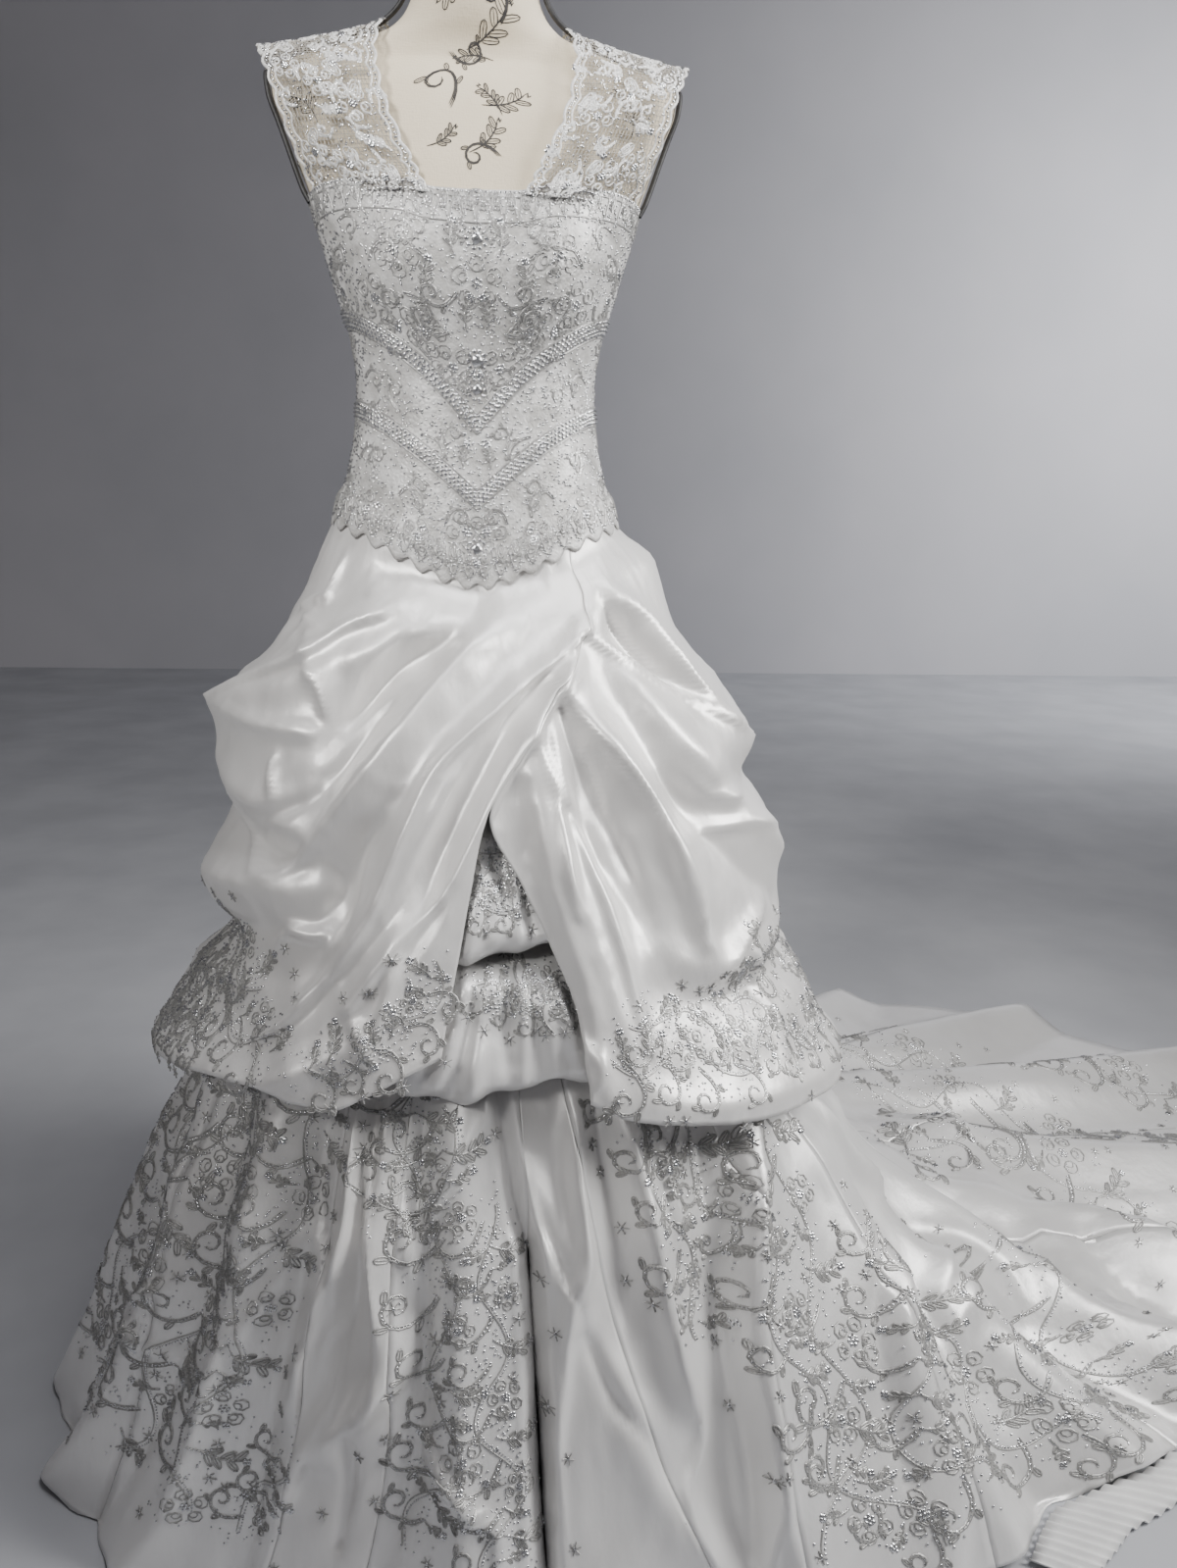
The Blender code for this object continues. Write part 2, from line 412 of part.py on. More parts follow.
def fold_height(points, normals, folds, place):
    """How far the folds lift each point of a base surface."""
    flat, facing = points.reshape(-1, 3), normals.reshape(-1, 3)
    lift = np.zeros(len(flat))
    for fold in folds:
        stations = np.array(fold.path, float)
        steps = np.linspace(0, len(stations) - 1, 4 * len(stations))
        known = np.arange(len(stations))
        angle = radians(1) * through(steps, known, stations[:, 0])
        line = place(angle, through(steps, known, stations[:, 1]))
        start, run = line[:-1], np.diff(line, axis=0)
        offset = flat[:, None] - start
        share = np.clip((offset * run).sum(-1) / (run * run).sum(-1), 0, 1)
        gap = offset - share[..., None] * run
        distance = np.linalg.norm(gap, axis=-1)
        near = distance.argmin(axis=1)
        row = np.arange(len(flat))
        along = (near + share[row, near]) / len(run)
        side = (np.cross(run[near], gap[row, near]) * facing).sum(-1)
        width = np.where(side > 0, fold.right, fold.left) / 1000
        keep = fold.head + (1 - fold.head) * ease(along / 0.3)
        keep = keep * (fold.foot + (1 - fold.foot) * ease((1 - along) / 0.3))
        lift += fold.height / 1000 * keep * np.exp(-((distance[row, near] / width) ** 1.7))
    return lift.reshape(points.shape[:-1])


def back_folds():
    """The folds of the hidden sides, hip to hem."""
    return tuple(
        Fold(height, width, width, 0.6, 1.0, ((angle, 0.45), (angle, 0.70), (angle + turn, 1.0)))
        for angle, height, width, turn in BACK_FOLDS
    )


def back_drapes():
    """Folds that sag from each side seam to the centre back."""
    drapes = []
    for middle, seam, height, width in BACK_DRAPES:
        sag = (seam - middle) * 0.75
        right = ((97, seam), (120, seam - sag), (150, middle + 0.01), (178, middle))
        left = tuple((360 - angle, z) for angle, z in reversed(right))
        drapes.append(Fold(height, width, width, 0.5, 0.8, right))
        drapes.append(Fold(height, width, width, 0.8, 0.5, left))
    return tuple(drapes)


OVER_FOLDS = LEFT_SWAG_FOLDS + RIGHT_SWAG_FOLDS + back_drapes()
UNDER_FOLDS = SKIRT_FOLDS + TRAIN_FOLDS + back_folds()


def over_surface(angle, height):
    """Outer face of the overskirt, folds and all."""
    angle, height = np.broadcast_arrays(np.asarray(angle, float), np.asarray(height, float))
    base = over_base(angle, height)
    outward = at(angle, 1.0, np.zeros_like(height))
    free = ease((basque(angle) - 0.004 - height) / 0.05)
    wrapped = np.where(angle < radians(-100), angle + 2 * np.pi, angle)
    lift = fold_height(over_base(wrapped, height), outward, OVER_FOLDS, over_base)
    return base + outward * (lift * free)[..., None]


def under_surface(angle, down):
    """Outer face of the underskirt and train, never below the floor."""
    angle, down = np.broadcast_arrays(np.asarray(angle, float), np.asarray(down, float))
    base = under_base(angle, down)
    normal = normal_of(under_base, angle, np.minimum(down, 0.99), 0.01)
    free = ease((down - 0.38) / 0.16)
    lift = fold_height(base, normal, UNDER_FOLDS, under_base)
    placed = base + normal * (lift * free)[..., None]
    placed[..., 2] = np.maximum(placed[..., 2], FLOOR_SKIN)
    return placed


# ---------------------------------------------------------------- making solids
def material(name, colour, roughness, metallic=0.0):
    made = bpy.data.materials.new(name)
    made.use_nodes = True
    shader = made.node_tree.nodes["Principled BSDF"]
    shader.inputs["Base Color"].default_value = (*colour, 1)
    shader.inputs["Roughness"].default_value = roughness
    shader.inputs["Metallic"].default_value = metallic
    return made


def wall(name, outer, inner, collection, finish, gaps=()):
    """A cloth wall lofted between an outer and an inner grid of points.

    Both faces of a cell are split along the same diagonal, so the wall keeps its thickness, and
    the cut edges are split the same way on both sides of a seam.
    gaps are the (row, column) cells that are cut through.
    """
    mesh = bmesh.new()
    rows, columns = outer.shape[:2]
    grids = {
        True: [[mesh.verts.new(point) for point in row] for row in outer],
        False: [[mesh.verts.new(point) for point in row] for row in inner],
    }
    partner = {}
    for row in range(rows):
        for column in range(columns):
            partner[grids[True][row][column]] = grids[False][row][column]
    for row in range(rows - 1):
        for column in range(columns - 1):
            if (row, column) in gaps:
                continue
            corners = ((row, column), (row, column + 1), (row + 1, column + 1), (row + 1, column))
            rise = np.linalg.norm(outer[corners[0]] - outer[corners[2]])
            fall = np.linalg.norm(outer[corners[1]] - outer[corners[3]])
            split = ((0, 1, 2), (0, 2, 3)) if rise < fall else ((0, 1, 3), (1, 2, 3))
            for outside, grid in grids.items():
                for triangle in split:
                    points = [grid[corners[k][0]][corners[k][1]] for k in triangle]
                    mesh.faces.new(points if outside else points[::-1])
    mesh.verts.index_update()
    rim = [edge for edge in mesh.edges if len(edge.link_faces) == 1 and edge.verts[0] in partner]
    for edge in rim:
        first, second = sorted(edge.verts, key=lambda vert: vert.index)
        mesh.faces.new((first, second, partner[second]))
        mesh.faces.new((first, partner[second], partner[first]))
    loose = [vert for vert in mesh.verts if not vert.link_faces]
    bmesh.ops.delete(mesh, geom=loose, context="VERTS")
    bmesh.ops.recalc_face_normals(mesh, faces=mesh.faces)
    data = bpy.data.meshes.new(name)
    mesh.to_mesh(data)
    mesh.free()
    data.shade_smooth()
    made = bpy.data.objects.new(name, data)
    collection.objects.link(made)
    data.materials.append(finish)
    return made


def cloth(name, surface, angle, down, drop, collection, finish, thickness=SATIN):
    """A cloth wall whose outer face is a surface, at a grid of angles and heights or shares.

    drop is a small step down in the second of these.
    """
    outer = surface(angle, down)
    normal = normal_of(surface, angle, down, drop)
    inner = outer - normal * thickness
    inner[..., 2] = np.maximum(inner[..., 2], FLOOR_SKIN - thickness)
    return wall(name, outer, inner, collection, finish)


def turned_solid(name, profile, collection, finish, steps=32):
    """A closed solid of revolution from (radius, height) points, top to bottom."""
    mesh = bmesh.new()
    points = [mesh.verts.new((radius, 0, height)) for radius, height in profile]
    for first, second in zip(points, points[1:]):
        mesh.edges.new((first, second))
    data = bpy.data.meshes.new(name)
    mesh.to_mesh(data)
    mesh.free()
    made = bpy.data.objects.new(name, data)
    collection.objects.link(made)
    screw = made.modifiers.new("turn", "SCREW")
    screw.steps = steps
    screw.render_steps = steps
    screw.use_merge_vertices = True
    screw.merge_threshold = 0.0001
    data.materials.append(finish)
    return made


# ---------------------------------------------------------------- the dress form
def form_torso(collection, finish):
    """Limbless torso from the hip to the neck, closed at both ends."""
    around = np.radians(np.linspace(0, 360, 24, endpoint=False))
    mesh = bmesh.new()
    loops = []
    for height in FORM_ROWS:
        # the shoulders are wide and shallow, so their points are spread by the section itself
        width, front, back, power = (through(height, FORM[:, 0], FORM[:, k]) for k in (1, 2, 3, 4))
        spread = np.arctan2(width * np.sin(around), np.where(np.cos(around) > 0, front, back) * np.cos(around))
        points = at(spread, form_radius(spread, height), np.full(len(spread), height))
        loops.append([mesh.verts.new(point) for point in points])
    for lower, upper in zip(loops, loops[1:]):
        for k in range(len(lower)):
            nxt = (k + 1) % len(lower)
            mesh.faces.new((lower[k], lower[nxt], upper[nxt], upper[k]))
    mesh.faces.new(loops[0][::-1])
    mesh.faces.new(loops[-1])
    bmesh.ops.recalc_face_normals(mesh, faces=mesh.faces)
    data = bpy.data.meshes.new("form_torso")
    mesh.to_mesh(data)
    mesh.free()
    data.shade_smooth()
    made = bpy.data.objects.new("form_torso", data)
    collection.objects.link(made)
    data.materials.append(finish)


def stand(collection, wood, metal):
    """Neck cap with its knob, the pole under the torso and the round base."""
    cap = (
        (0.0, 1.506), (0.008, 1.504), (0.012, 1.496), (0.009, 1.486), (0.012, 1.480),
        (0.050, 1.474), (0.052, 1.468), (0.052, NECK_TOP + SEAM_GAP), (0.0, NECK_TOP + SEAM_GAP),
    )
    turned_solid("form_neck_cap", cap, collection, wood, steps=16)
    pole_top = FORM_BOTTOM - SEAM_GAP
    pole_foot = BASE_HEIGHT + SEAM_GAP
    pole = ((0.0, pole_top), (POLE_RADIUS, pole_top), (POLE_RADIUS, pole_foot), (0.0, pole_foot))
    turned_solid("form_pole", pole, collection, metal, steps=16)
    base = (
        (0.0, BASE_HEIGHT), (0.030, BASE_HEIGHT), (0.140, 0.014), (0.164, 0.011),
        (BASE_RADIUS, 0.007), (BASE_RADIUS, 0.0), (0.0, 0.0),
    )
    turned_solid("form_base", base, collection, metal, steps=28)


# ---------------------------------------------------------------- the bodice
def bodice_face(angle, height):
    """Inner face of the bodice: close on the body, over the skirts' tops at its lower edge."""
    over_skirts = ease((basque(angle) + 0.034 - height) / 0.016)
    return form_radius(angle, height) + BODICE_EASE + (BASQUE_FACE - BODICE_EASE) * over_skirts


def bodice_wall(name, angle, height, raised, collection, finish):
    inner = at(angle, bodice_face(angle, height), height)
    outer = at(angle, bodice_face(angle, height) + BODICE_CLOTH + raised, height)
    wall(name, outer, inner, collection, finish)


def bodice_front(collection, finish):
    """Rows from the neckline to the basque point, bent into the chevrons' V."""
    share = np.linspace(-1, 1, 21)
    gap = SEAM_GAP / 2 / 0.13
    angle = share * (radians(BODICE_SIDE) - gap)
    rows = np.array(BODICE_ROWS)
    middle, side, raised = (rows[:, k][:, None] for k in (0, 1, 2))
    bend = np.abs(np.sin(share * np.pi / 2))
    height = middle + (side - middle) * bend
    top, foot = neckline(angle), basque(angle)
    # the first and last rows follow the cut edges exactly, and their neighbours lean that way
    height += (top - height[0]) * np.clip(1 - np.arange(len(rows)) / 3, 0, 1)[:, None]
    height += (foot - height[-1]) * np.clip(1 - np.arange(len(rows))[::-1] / 3, 0, 1)[:, None]
    angle = np.broadcast_to(angle, height.shape)
    raised = np.broadcast_to(raised, height.shape)
    bodice_wall("bodice_front", angle, height, raised, collection, finish)


def bodice_back(name, start, end, collection, finish):
    """A back piece between two seam angles."""
    angle = np.linspace(radians(start), radians(end), 10)
    share = np.array((0, 0.08) + BACK_ROWS)[:, None]
    height = neckline(angle) + (basque(angle) - neckline(angle)) * share
    angle = np.broadcast_to(angle, height.shape)
    raised = np.zeros(height.shape)
    raised[:2], raised[-2:] = 0.0008, 0.0010
    bodice_wall(name, angle, height, raised, collection, finish)


def back_zip(collection, finish):
    """Closed concealed zip: a narrow strip with its slider at the top."""
    half = (ZIP_WIDTH / 2 - SEAM_GAP / 2) / 0.09
    angle = np.pi + np.array((-1, -0.5, 0.5, 1)) * half
    top, foot = neckline(np.pi), basque(np.pi)
    slider = top - 0.006
    height = np.array((top, slider, slider - 0.001, slider - 0.010, slider - 0.011))
    height = np.concatenate([height, top + (foot - top) * np.array(BACK_ROWS)])
    angle, height = np.broadcast_arrays(angle, height[:, None])
    raised = np.zeros(height.shape)
    raised[2:4, 1:3] = 0.0025
    bodice_wall("back_zip", angle, height, raised, collection, finish)


# ---------------------------------------------------------------- the straps
def strap_points(across, along):
    """Middle face of the right strap, from its sections."""
    known = np.arange(len(STRAP))
    places = []
    for axis in range(3):
        inner, middle, outer = (through(along, known, STRAP[:, k, axis]) for k in range(3))
        bow = 4 * across * (1 - across)
        places.append(inner + (outer - inner) * across + bow * (middle - (inner + outer) / 2))
    return np.stack(places, -1)


def strap_gaps():
    """Cells cut through between the scrolls of the lace, none touching another."""
    gaps = set()
    for row in range(1, STRAP_ROWS - 1, 2):
        first = 1 + (row // 2) % 2
        gaps.update((row, column) for column in range(first, STRAP_COLUMNS - 1, 2))
    return gaps


def strap(name, side, collection, finish):
    along = np.linspace(0, len(STRAP) - 1, STRAP_ROWS + 1)[:, None]
    across = np.linspace(0, 1, STRAP_COLUMNS + 1)[None, :]
    along, across = np.broadcast_arrays(along, across)
    points = strap_points(across, along)
    step = 0.02
    run = strap_points(across, along + step) - strap_points(across, along - step)
    reach = strap_points(across + step, along) - strap_points(across - step, along)
    normal = np.cross(reach, run)
    normal /= np.linalg.norm(normal, axis=-1, keepdims=True)
    # scalloped edges: the lace swings out and in along both long edges
    wave = 0.003 * np.cos(along * np.pi * 1.5)
    edge = np.where(across < 0.01, 1, np.where(across > 0.99, -1, 0)) * (along > 0.6) * (along < 10.4)
    points = points + reach / np.linalg.norm(reach, axis=-1, keepdims=True) * (edge * wave)[..., None]
    mirrored = np.array((side, 1, 1))
    outer = (points + normal * LACE / 2) * mirrored
    inner = (points - normal * LACE / 2) * mirrored
    wall(name, outer, inner, collection, finish, strap_gaps())


# ---------------------------------------------------------------- the overskirt
def patch(top, foot, left, right, columns, rows):
    """Angles and heights over a cut piece with four curved edges."""
    u = np.linspace(0, 1, columns + 1)[None, :]
    v = np.array(rows)[:, None]
    made = []
    for k in (0, 1):
        edges = (1 - v) * top(u)[k] + v * foot(u)[k] + (1 - u) * left(v)[k] + u * right(v)[k]
        low = (1 - u) * foot(0)[k] + u * foot(1)[k]
        high = (1 - u) * top(0)[k] + u * top(1)[k]
        made.append(edges - (1 - v) * high - v * low)
    return radians(1) * made[0], made[1]


def straight(start, end):
    return lambda share: (
        start[0] + (end[0] - start[0]) * share,
        start[1] + (end[1] - start[1]) * share,
    )


def tucked(start, end):
    """The top edge, under the bodice."""
    def edge(share):
        angle = start + (end - start) * np.asarray(share, float)
        return angle, basque(radians(1) * angle) + TUCK
    return edge


def tabled(table, shift=0.0):
    return lambda share: (
        through(share, table[:, 0], table[:, 1]) + shift,
        through(share, table[:, 0], table[:, 2]),
    )


def hem_along(table, start, end):
    def edge(share):
        angle = start + (end - start) * np.asarray(share, float)
        return angle, through(angle, table[:, 0], table[:, 1])
    return edge


def overskirt(collection, finish):
    shift = np.degrees(SEAM_GAP / 2 / LEAST_HIP)
    side_top = basque(radians(SIDE)) + TUCK
    left = patch(
        tucked(-SIDE + shift, PICK_UP - shift), hem_along(LEFT_HEM, -SIDE + shift, -6.0 - shift),
        straight((-SIDE + shift, side_top), (-SIDE + shift, LEFT_HEM[0, 1])), tabled(LEAD, -shift),
        22, SWAG_ROWS,
    )
    cloth("swag_left", over_surface, *left, -0.01, collection, finish)
    right = patch(
        tucked(PICK_UP + shift, SIDE - shift), hem_along(RIGHT_HEM, 18.0 + shift, SIDE - shift),
        tabled(RIGHT_LEAD, shift), straight((SIDE - shift, side_top), (SIDE - shift, RIGHT_HEM[-1, 1])),
        17, SWAG_ROWS,
    )
    cloth("swag_right", over_surface, *right, -0.01, collection, finish)
    for name, start, end in (("swag_back_right", SIDE, 180.0), ("swag_back_left", 180.0, 360 - SIDE)):
        start, end = start + shift, end - shift
        hem = hem_along(BACK_HEM, start, end)
        back = patch(
            tucked(start, end), hem,
            straight((start, basque(radians(start)) + TUCK), hem(0)),
            straight((end, basque(radians(end)) + TUCK), hem(1)),
            12, BACK_SWAG_ROWS,
        )
        cloth(name, over_surface, *back, -0.01, collection, finish)


def puff_surface(table):
    """A short picked-up puff that shows in the gap between the swags.

    Its top edge is sewn on the underskirt, whose wall runs straight between two of its rows.
    """
    def surface(angle, height):
        angle, height = np.broadcast_arrays(np.asarray(angle, float), np.asarray(height, float))
        depth = through(height, table[:, 0], table[:, 1])
        middle = ease((angle - radians(PUFF_ANGLES[0] + 2)) / 0.2) * ease((radians(PUFF_ANGLES[1] - 2) - angle) / 0.2)
        ripple = PUFF_RIPPLE * np.cos(angle * PUFF_RIPPLES) * middle
        radius = ring(angle, depth * 1.12, depth, depth, 2.1) + ripple
        cover = over_surface(angle, height)
        room = np.hypot(cover[..., 0], cover[..., 1]) - SATIN - PUFF_ROOM
        high, low = (under_surface(angle, np.full(angle.shape, down)) for down in STRAIGHT_RUN)
        share = (high[..., 2] - height) / (high[..., 2] - low[..., 2])
        wall_there = high + (low - high) * share[..., None]
        sewn = np.hypot(wall_there[..., 0], wall_there[..., 1]) + SATIN + PUFF_SEAT
        top = ease((height - table[-2, 0]) / (table[-1, 0] - table[-2, 0]))
        radius = np.minimum(radius, room)
        return at(angle, radius + (sewn - radius) * top, height)
    return surface


def puffs(collection, finish):
    for name, table in (("pickup_upper", UPPER_PUFF), ("pickup_lower", LOWER_PUFF)):
        heights = table[::-1, 0][:, None]
        angle = np.radians(np.linspace(*PUFF_ANGLES, 13))[None, :]
        angle, heights = np.broadcast_arrays(angle, heights)
        cloth(name, puff_surface(table), angle, heights, -0.006, collection, finish)


# ---------------------------------------------------------------- the underskirt and train
def seam_angle(seam, down):
    return through(down, (0, KNEE_AT, SHIN_AT, 1), seam)


def gores(collection, finishes):
    for name, left, right, columns in GORES:
        down = np.array(GORE_ROWS)[:, None]
        start, end = (radians(1) * seam_angle(seam, down) for seam in (left, right))
        radius = np.hypot(*np.moveaxis(under_base((start + end) / 2, down)[..., :2], -1, 0))
        gap = SEAM_GAP / 2 / radius
        share = np.linspace(0, 1, columns + 1)[None, :]
        angle = start + gap + (end - start - 2 * gap) * share
        down = np.broadcast_to(down, angle.shape)
        finish = finishes["plain" if name.startswith("godet") else "embroidered"]
        cloth(name, under_surface, angle, down, 0.01, collection, finish)


def lining_hem(collection, finish):
    """Pleated lining that shows beyond the near edge of the train."""
    angle = np.radians(np.linspace(*LINING_ANGLES, LINING_PLEATS))[None, :]
    out = np.array((0, 0.5, 1.0))[:, None]
    pleat = 0.004 + 0.003 * np.cos(np.arange(LINING_PLEATS) * np.pi)
    reach = LINING_REACH * np.sin(np.linspace(0.25, 0.75, LINING_PLEATS) * np.pi)
    hem = under_surface(angle, np.ones_like(angle))
    radius = np.hypot(hem[..., 0], hem[..., 1]) + 0.006 + reach * out
    angle, height = np.broadcast_arrays(angle, pleat * np.ones_like(out) + FLOOR_SKIN)
    outer = at(angle, radius, height)
    inner = outer - np.array((0, 0, SATIN))
    wall("lining_hem", outer, inner, collection, finish)


# ---------------------------------------------------------------- the whole part
def main():
    for old in list(bpy.data.objects):
        bpy.data.objects.remove(old)
    collection = bpy.data.collections.new("wedding_dress_on_form")
    bpy.context.scene.collection.children.link(collection)
    plain = material("ivory_satin", (0.74, 0.73, 0.71), 0.34)
    over = material("overskirt_satin", (0.75, 0.74, 0.72), 0.33)
    embroidered = material("embroidered_satin", (0.68, 0.67, 0.66), 0.38)
    beaded = material("beaded_bodice", (0.58, 0.57, 0.56), 0.45)
    lace = material("cord_lace", (0.55, 0.55, 0.55), 0.5)
    lining = material("lining", (0.80, 0.80, 0.80), 0.6)
    linen = material("form_linen", (0.70, 0.62, 0.48), 0.85)
    wood = material("dark_wood", (0.05, 0.04, 0.035), 0.45)
    metal = material("black_enamel", (0.03, 0.03, 0.03), 0.4)
    zip_tape = material("zip_tape", (0.72, 0.71, 0.69), 0.5)

    form_torso(collection, linen)
    stand(collection, wood, metal)
    bodice_front(collection, beaded)
    seam, half = SEAM_GAP / 2 / 0.13, ZIP_WIDTH / 2 / 0.09
    seam, half = np.degrees(seam), np.degrees(half + SEAM_GAP / 2 / 0.09)
    bodice_back("bodice_back_right", BODICE_SIDE + seam, 180 - half, collection, beaded)
    bodice_back("bodice_back_left", 180 + half, 360 - BODICE_SIDE - seam, collection, beaded)
    back_zip(collection, zip_tape)
    strap("strap_right", 1, collection, lace)
    strap("strap_left", -1, collection, lace)
    overskirt(collection, over)
    puffs(collection, embroidered)
    gores(collection, {"plain": plain, "embroidered": embroidered})
    lining_hem(collection, lining)


main()
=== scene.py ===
"""Looks of a wedding dress with a picked-up overskirt and a train, on a limbless dress form.

Metres, +Z up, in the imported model's frame: the form's axis is the Z axis, the front faces -Y
and the floor is z = 0. Angles run round the axis from the front, +90 is +X.
"""

from collections import namedtuple
from math import radians

import bpy
import numpy as np
from mathutils import Euler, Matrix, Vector


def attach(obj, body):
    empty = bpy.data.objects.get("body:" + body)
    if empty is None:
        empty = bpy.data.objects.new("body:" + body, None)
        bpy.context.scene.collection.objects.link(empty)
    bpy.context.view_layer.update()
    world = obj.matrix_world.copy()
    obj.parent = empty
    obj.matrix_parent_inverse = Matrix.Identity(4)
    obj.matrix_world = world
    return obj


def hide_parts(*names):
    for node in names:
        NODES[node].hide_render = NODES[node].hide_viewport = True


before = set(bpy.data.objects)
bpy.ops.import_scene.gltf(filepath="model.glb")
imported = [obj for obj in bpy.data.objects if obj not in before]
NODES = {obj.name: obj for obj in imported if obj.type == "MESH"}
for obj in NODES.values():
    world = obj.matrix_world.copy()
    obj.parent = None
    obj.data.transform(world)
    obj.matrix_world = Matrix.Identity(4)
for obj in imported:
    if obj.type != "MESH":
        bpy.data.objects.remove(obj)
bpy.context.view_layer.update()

# ---------------------------------------------------------------- camera
CAMERA_PLACE = (0.0, -1.195, 0.960)
CAMERA_TURN = (76.997, -1.169, -5.280)  # degrees
camera_data = bpy.data.cameras.new("camera")
camera_data.sensor_fit = "AUTO"
camera_data.sensor_width = 36.0
camera_data.lens = 27.04
camera_data.clip_start = 0.02
camera = bpy.data.objects.new("camera", camera_data)
camera.location = CAMERA_PLACE
camera.rotation_euler = Euler([radians(turn) for turn in CAMERA_TURN])
bpy.context.scene.collection.objects.link(camera)
bpy.context.scene.camera = camera

# ---------------------------------------------------------------- driving dimensions
SEAM_GAP = 0.0003  # between two pieces that are sewn together
SATIN = 0.0015  # thickness of the skirts' cloth
SHEET, BEADED_SHEET = 0.0008, 0.0012  # thickness of the shells that stand for it and for the bodice
BODICE_CLOTH = 0.0018  # satin, net and beading of the bodice
TUCK = 0.014  # how far the skirts reach up under the bodice's edge
BUST = (0.015, 1.168, 0.054, 25)  # general bust: depth, height, spread up and down, spread in degrees
BUST_ANGLE = 33
BODICE_EASE = 0.0022  # the bodice stands this far off the form
UNDER_FACE = 0.0024  # outer face of the underskirt above the form, under the bodice
OVER_FACE = 0.0048  # outer face of the overskirt there
BASQUE_FACE = 0.0060  # inner face of the bodice there
KNEE = 0.330  # the skirt falls to here, then runs out to its hem
KNEE_AT = 0.60  # share of the way from hip to hem where the knee row is
FORM_BOTTOM = 0.800
NECK_TOP = 1.450
PICK_UP = 46.0  # angle of the point where both swags are gathered up
SIDE = 95.0  # angle of the overskirt's side seams
ZIP_WIDTH = 0.008
FLOOR_SKIN = 0.0021  # outer face of cloth that lies on the floor

# ---------------------------------------------------------------- tables of sections
# height, half width, depth in front, depth behind, roundness of the section
FORM = np.array((
    (0.800, 0.152, 0.104, 0.118, 2.2),
    (0.860, 0.154, 0.104, 0.120, 2.2),
    (0.905, 0.145, 0.101, 0.112, 2.2),
    (0.950, 0.132, 0.096, 0.100, 2.2),
    (1.000, 0.118, 0.091, 0.086, 2.2),
    (1.035, 0.111, 0.088, 0.080, 2.2),
    (1.070, 0.109, 0.087, 0.078, 2.2),
    (1.105, 0.112, 0.090, 0.081, 2.2),
    (1.150, 0.125, 0.096, 0.086, 2.2),
    (1.190, 0.137, 0.097, 0.090, 2.2),
    (1.238, 0.152, 0.090, 0.092, 2.3),
    (1.290, 0.171, 0.074, 0.090, 2.3),
    (1.320, 0.183, 0.060, 0.080, 2.2),
    (1.338, 0.184, 0.046, 0.068, 2.1),
    (1.348, 0.168, 0.040, 0.060, 2.0),
    (1.356, 0.140, 0.040, 0.058, 2.0),
    (1.365, 0.108, 0.042, 0.057, 2.0),
    (1.375, 0.080, 0.046, 0.056, 2.0),
    (1.390, 0.064, 0.049, 0.055, 2.0),
    (1.410, 0.056, 0.050, 0.054, 2.0),
    (1.450, 0.053, 0.050, 0.052, 2.0),
))
# angle either side of the front, height of the bodice's top edge
NECKLINE = np.array((
    (0, 1.226), (20, 1.227), (35, 1.2345), (60, 1.237), (80, 1.232),
    (95, 1.222), (120, 1.205), (150, 1.192), (180, 1.188),
))
# angle either side of the front, height of the bodice's lower edge
BASQUE = np.array((
    (0, 0.893), (15, 0.900), (35, 0.918), (60, 0.940), (90, 0.952), (130, 0.948), (180, 0.930),
))
# height, half width to -X, half width to +X, depth in front, depth behind
OVERSKIRT = np.array((
    (0.340, 0.300, 0.400, 0.325, 0.368),
    (0.366, 0.303, 0.398, 0.322, 0.367),
    (0.408, 0.321, 0.390, 0.316, 0.362),
    (0.446, 0.322, 0.368, 0.308, 0.354),
    (0.464, 0.315, 0.360, 0.302, 0.349),
    (0.490, 0.294, 0.347, 0.292, 0.334),
    (0.515, 0.270, 0.330, 0.281, 0.326),
    (0.557, 0.246, 0.309, 0.262, 0.312),
    (0.600, 0.267, 0.312, 0.247, 0.297),
    (0.624, 0.266, 0.309, 0.240, 0.290),
    (0.672, 0.243, 0.295, 0.225, 0.274),
    (0.709, 0.248, 0.272, 0.213, 0.258),
    (0.742, 0.251, 0.280, 0.201, 0.243),
    (0.771, 0.251, 0.265, 0.188, 0.228),
    (0.790, 0.237, 0.250, 0.178, 0.216),
    (0.818, 0.207, 0.226, 0.162, 0.198),
    (0.858, 0.178, 0.194, 0.135, 0.166),
    (0.904, 0.157, 0.180, 0.108, 0.135),
    (0.930, 0.148, 0.170, 0.100, 0.120),
    (0.966, 0.134, 0.145, 0.094, 0.103),
))
UNDERSKIRT = np.array((
    (0.330, 0.318, 0.385, 0.292, 0.380),
    (0.380, 0.290, 0.345, 0.271, 0.330),
    (0.440, 0.272, 0.315, 0.247, 0.300),
    (0.500, 0.246, 0.290, 0.223, 0.282),
    (0.570, 0.226, 0.268, 0.203, 0.262),
    (0.640, 0.220, 0.250, 0.186, 0.240),
    (0.720, 0.205, 0.228, 0.168, 0.212),
    (0.800, 0.180, 0.190, 0.138, 0.172),
    (0.860, 0.160, 0.164, 0.110, 0.135),
    (0.904, 0.147, 0.149, 0.099, 0.115),
    (0.966, 0.128, 0.130, 0.090, 0.098),
))
# angle, distance of the hem from the axis
HEM = np.array((
    (0, 0.385), (30, 0.440), (45, 0.510), (56, 0.573), (65, 0.635), (70, 0.680), (75, 0.766),
    (80, 0.930), (85, 1.160), (90, 1.330), (97, 1.450), (106, 1.490), (115, 1.460), (123, 1.400),
    (134, 1.335), (145, 1.170), (155, 0.930), (165, 0.740), (175, 0.620), (185, 0.550),
    (200, 0.500), (230, 0.470), (270, 0.455), (290, 0.445), (306, 0.425), (320, 0.385),
    (335, 0.370), (350, 0.378), (360, 0.385),
))
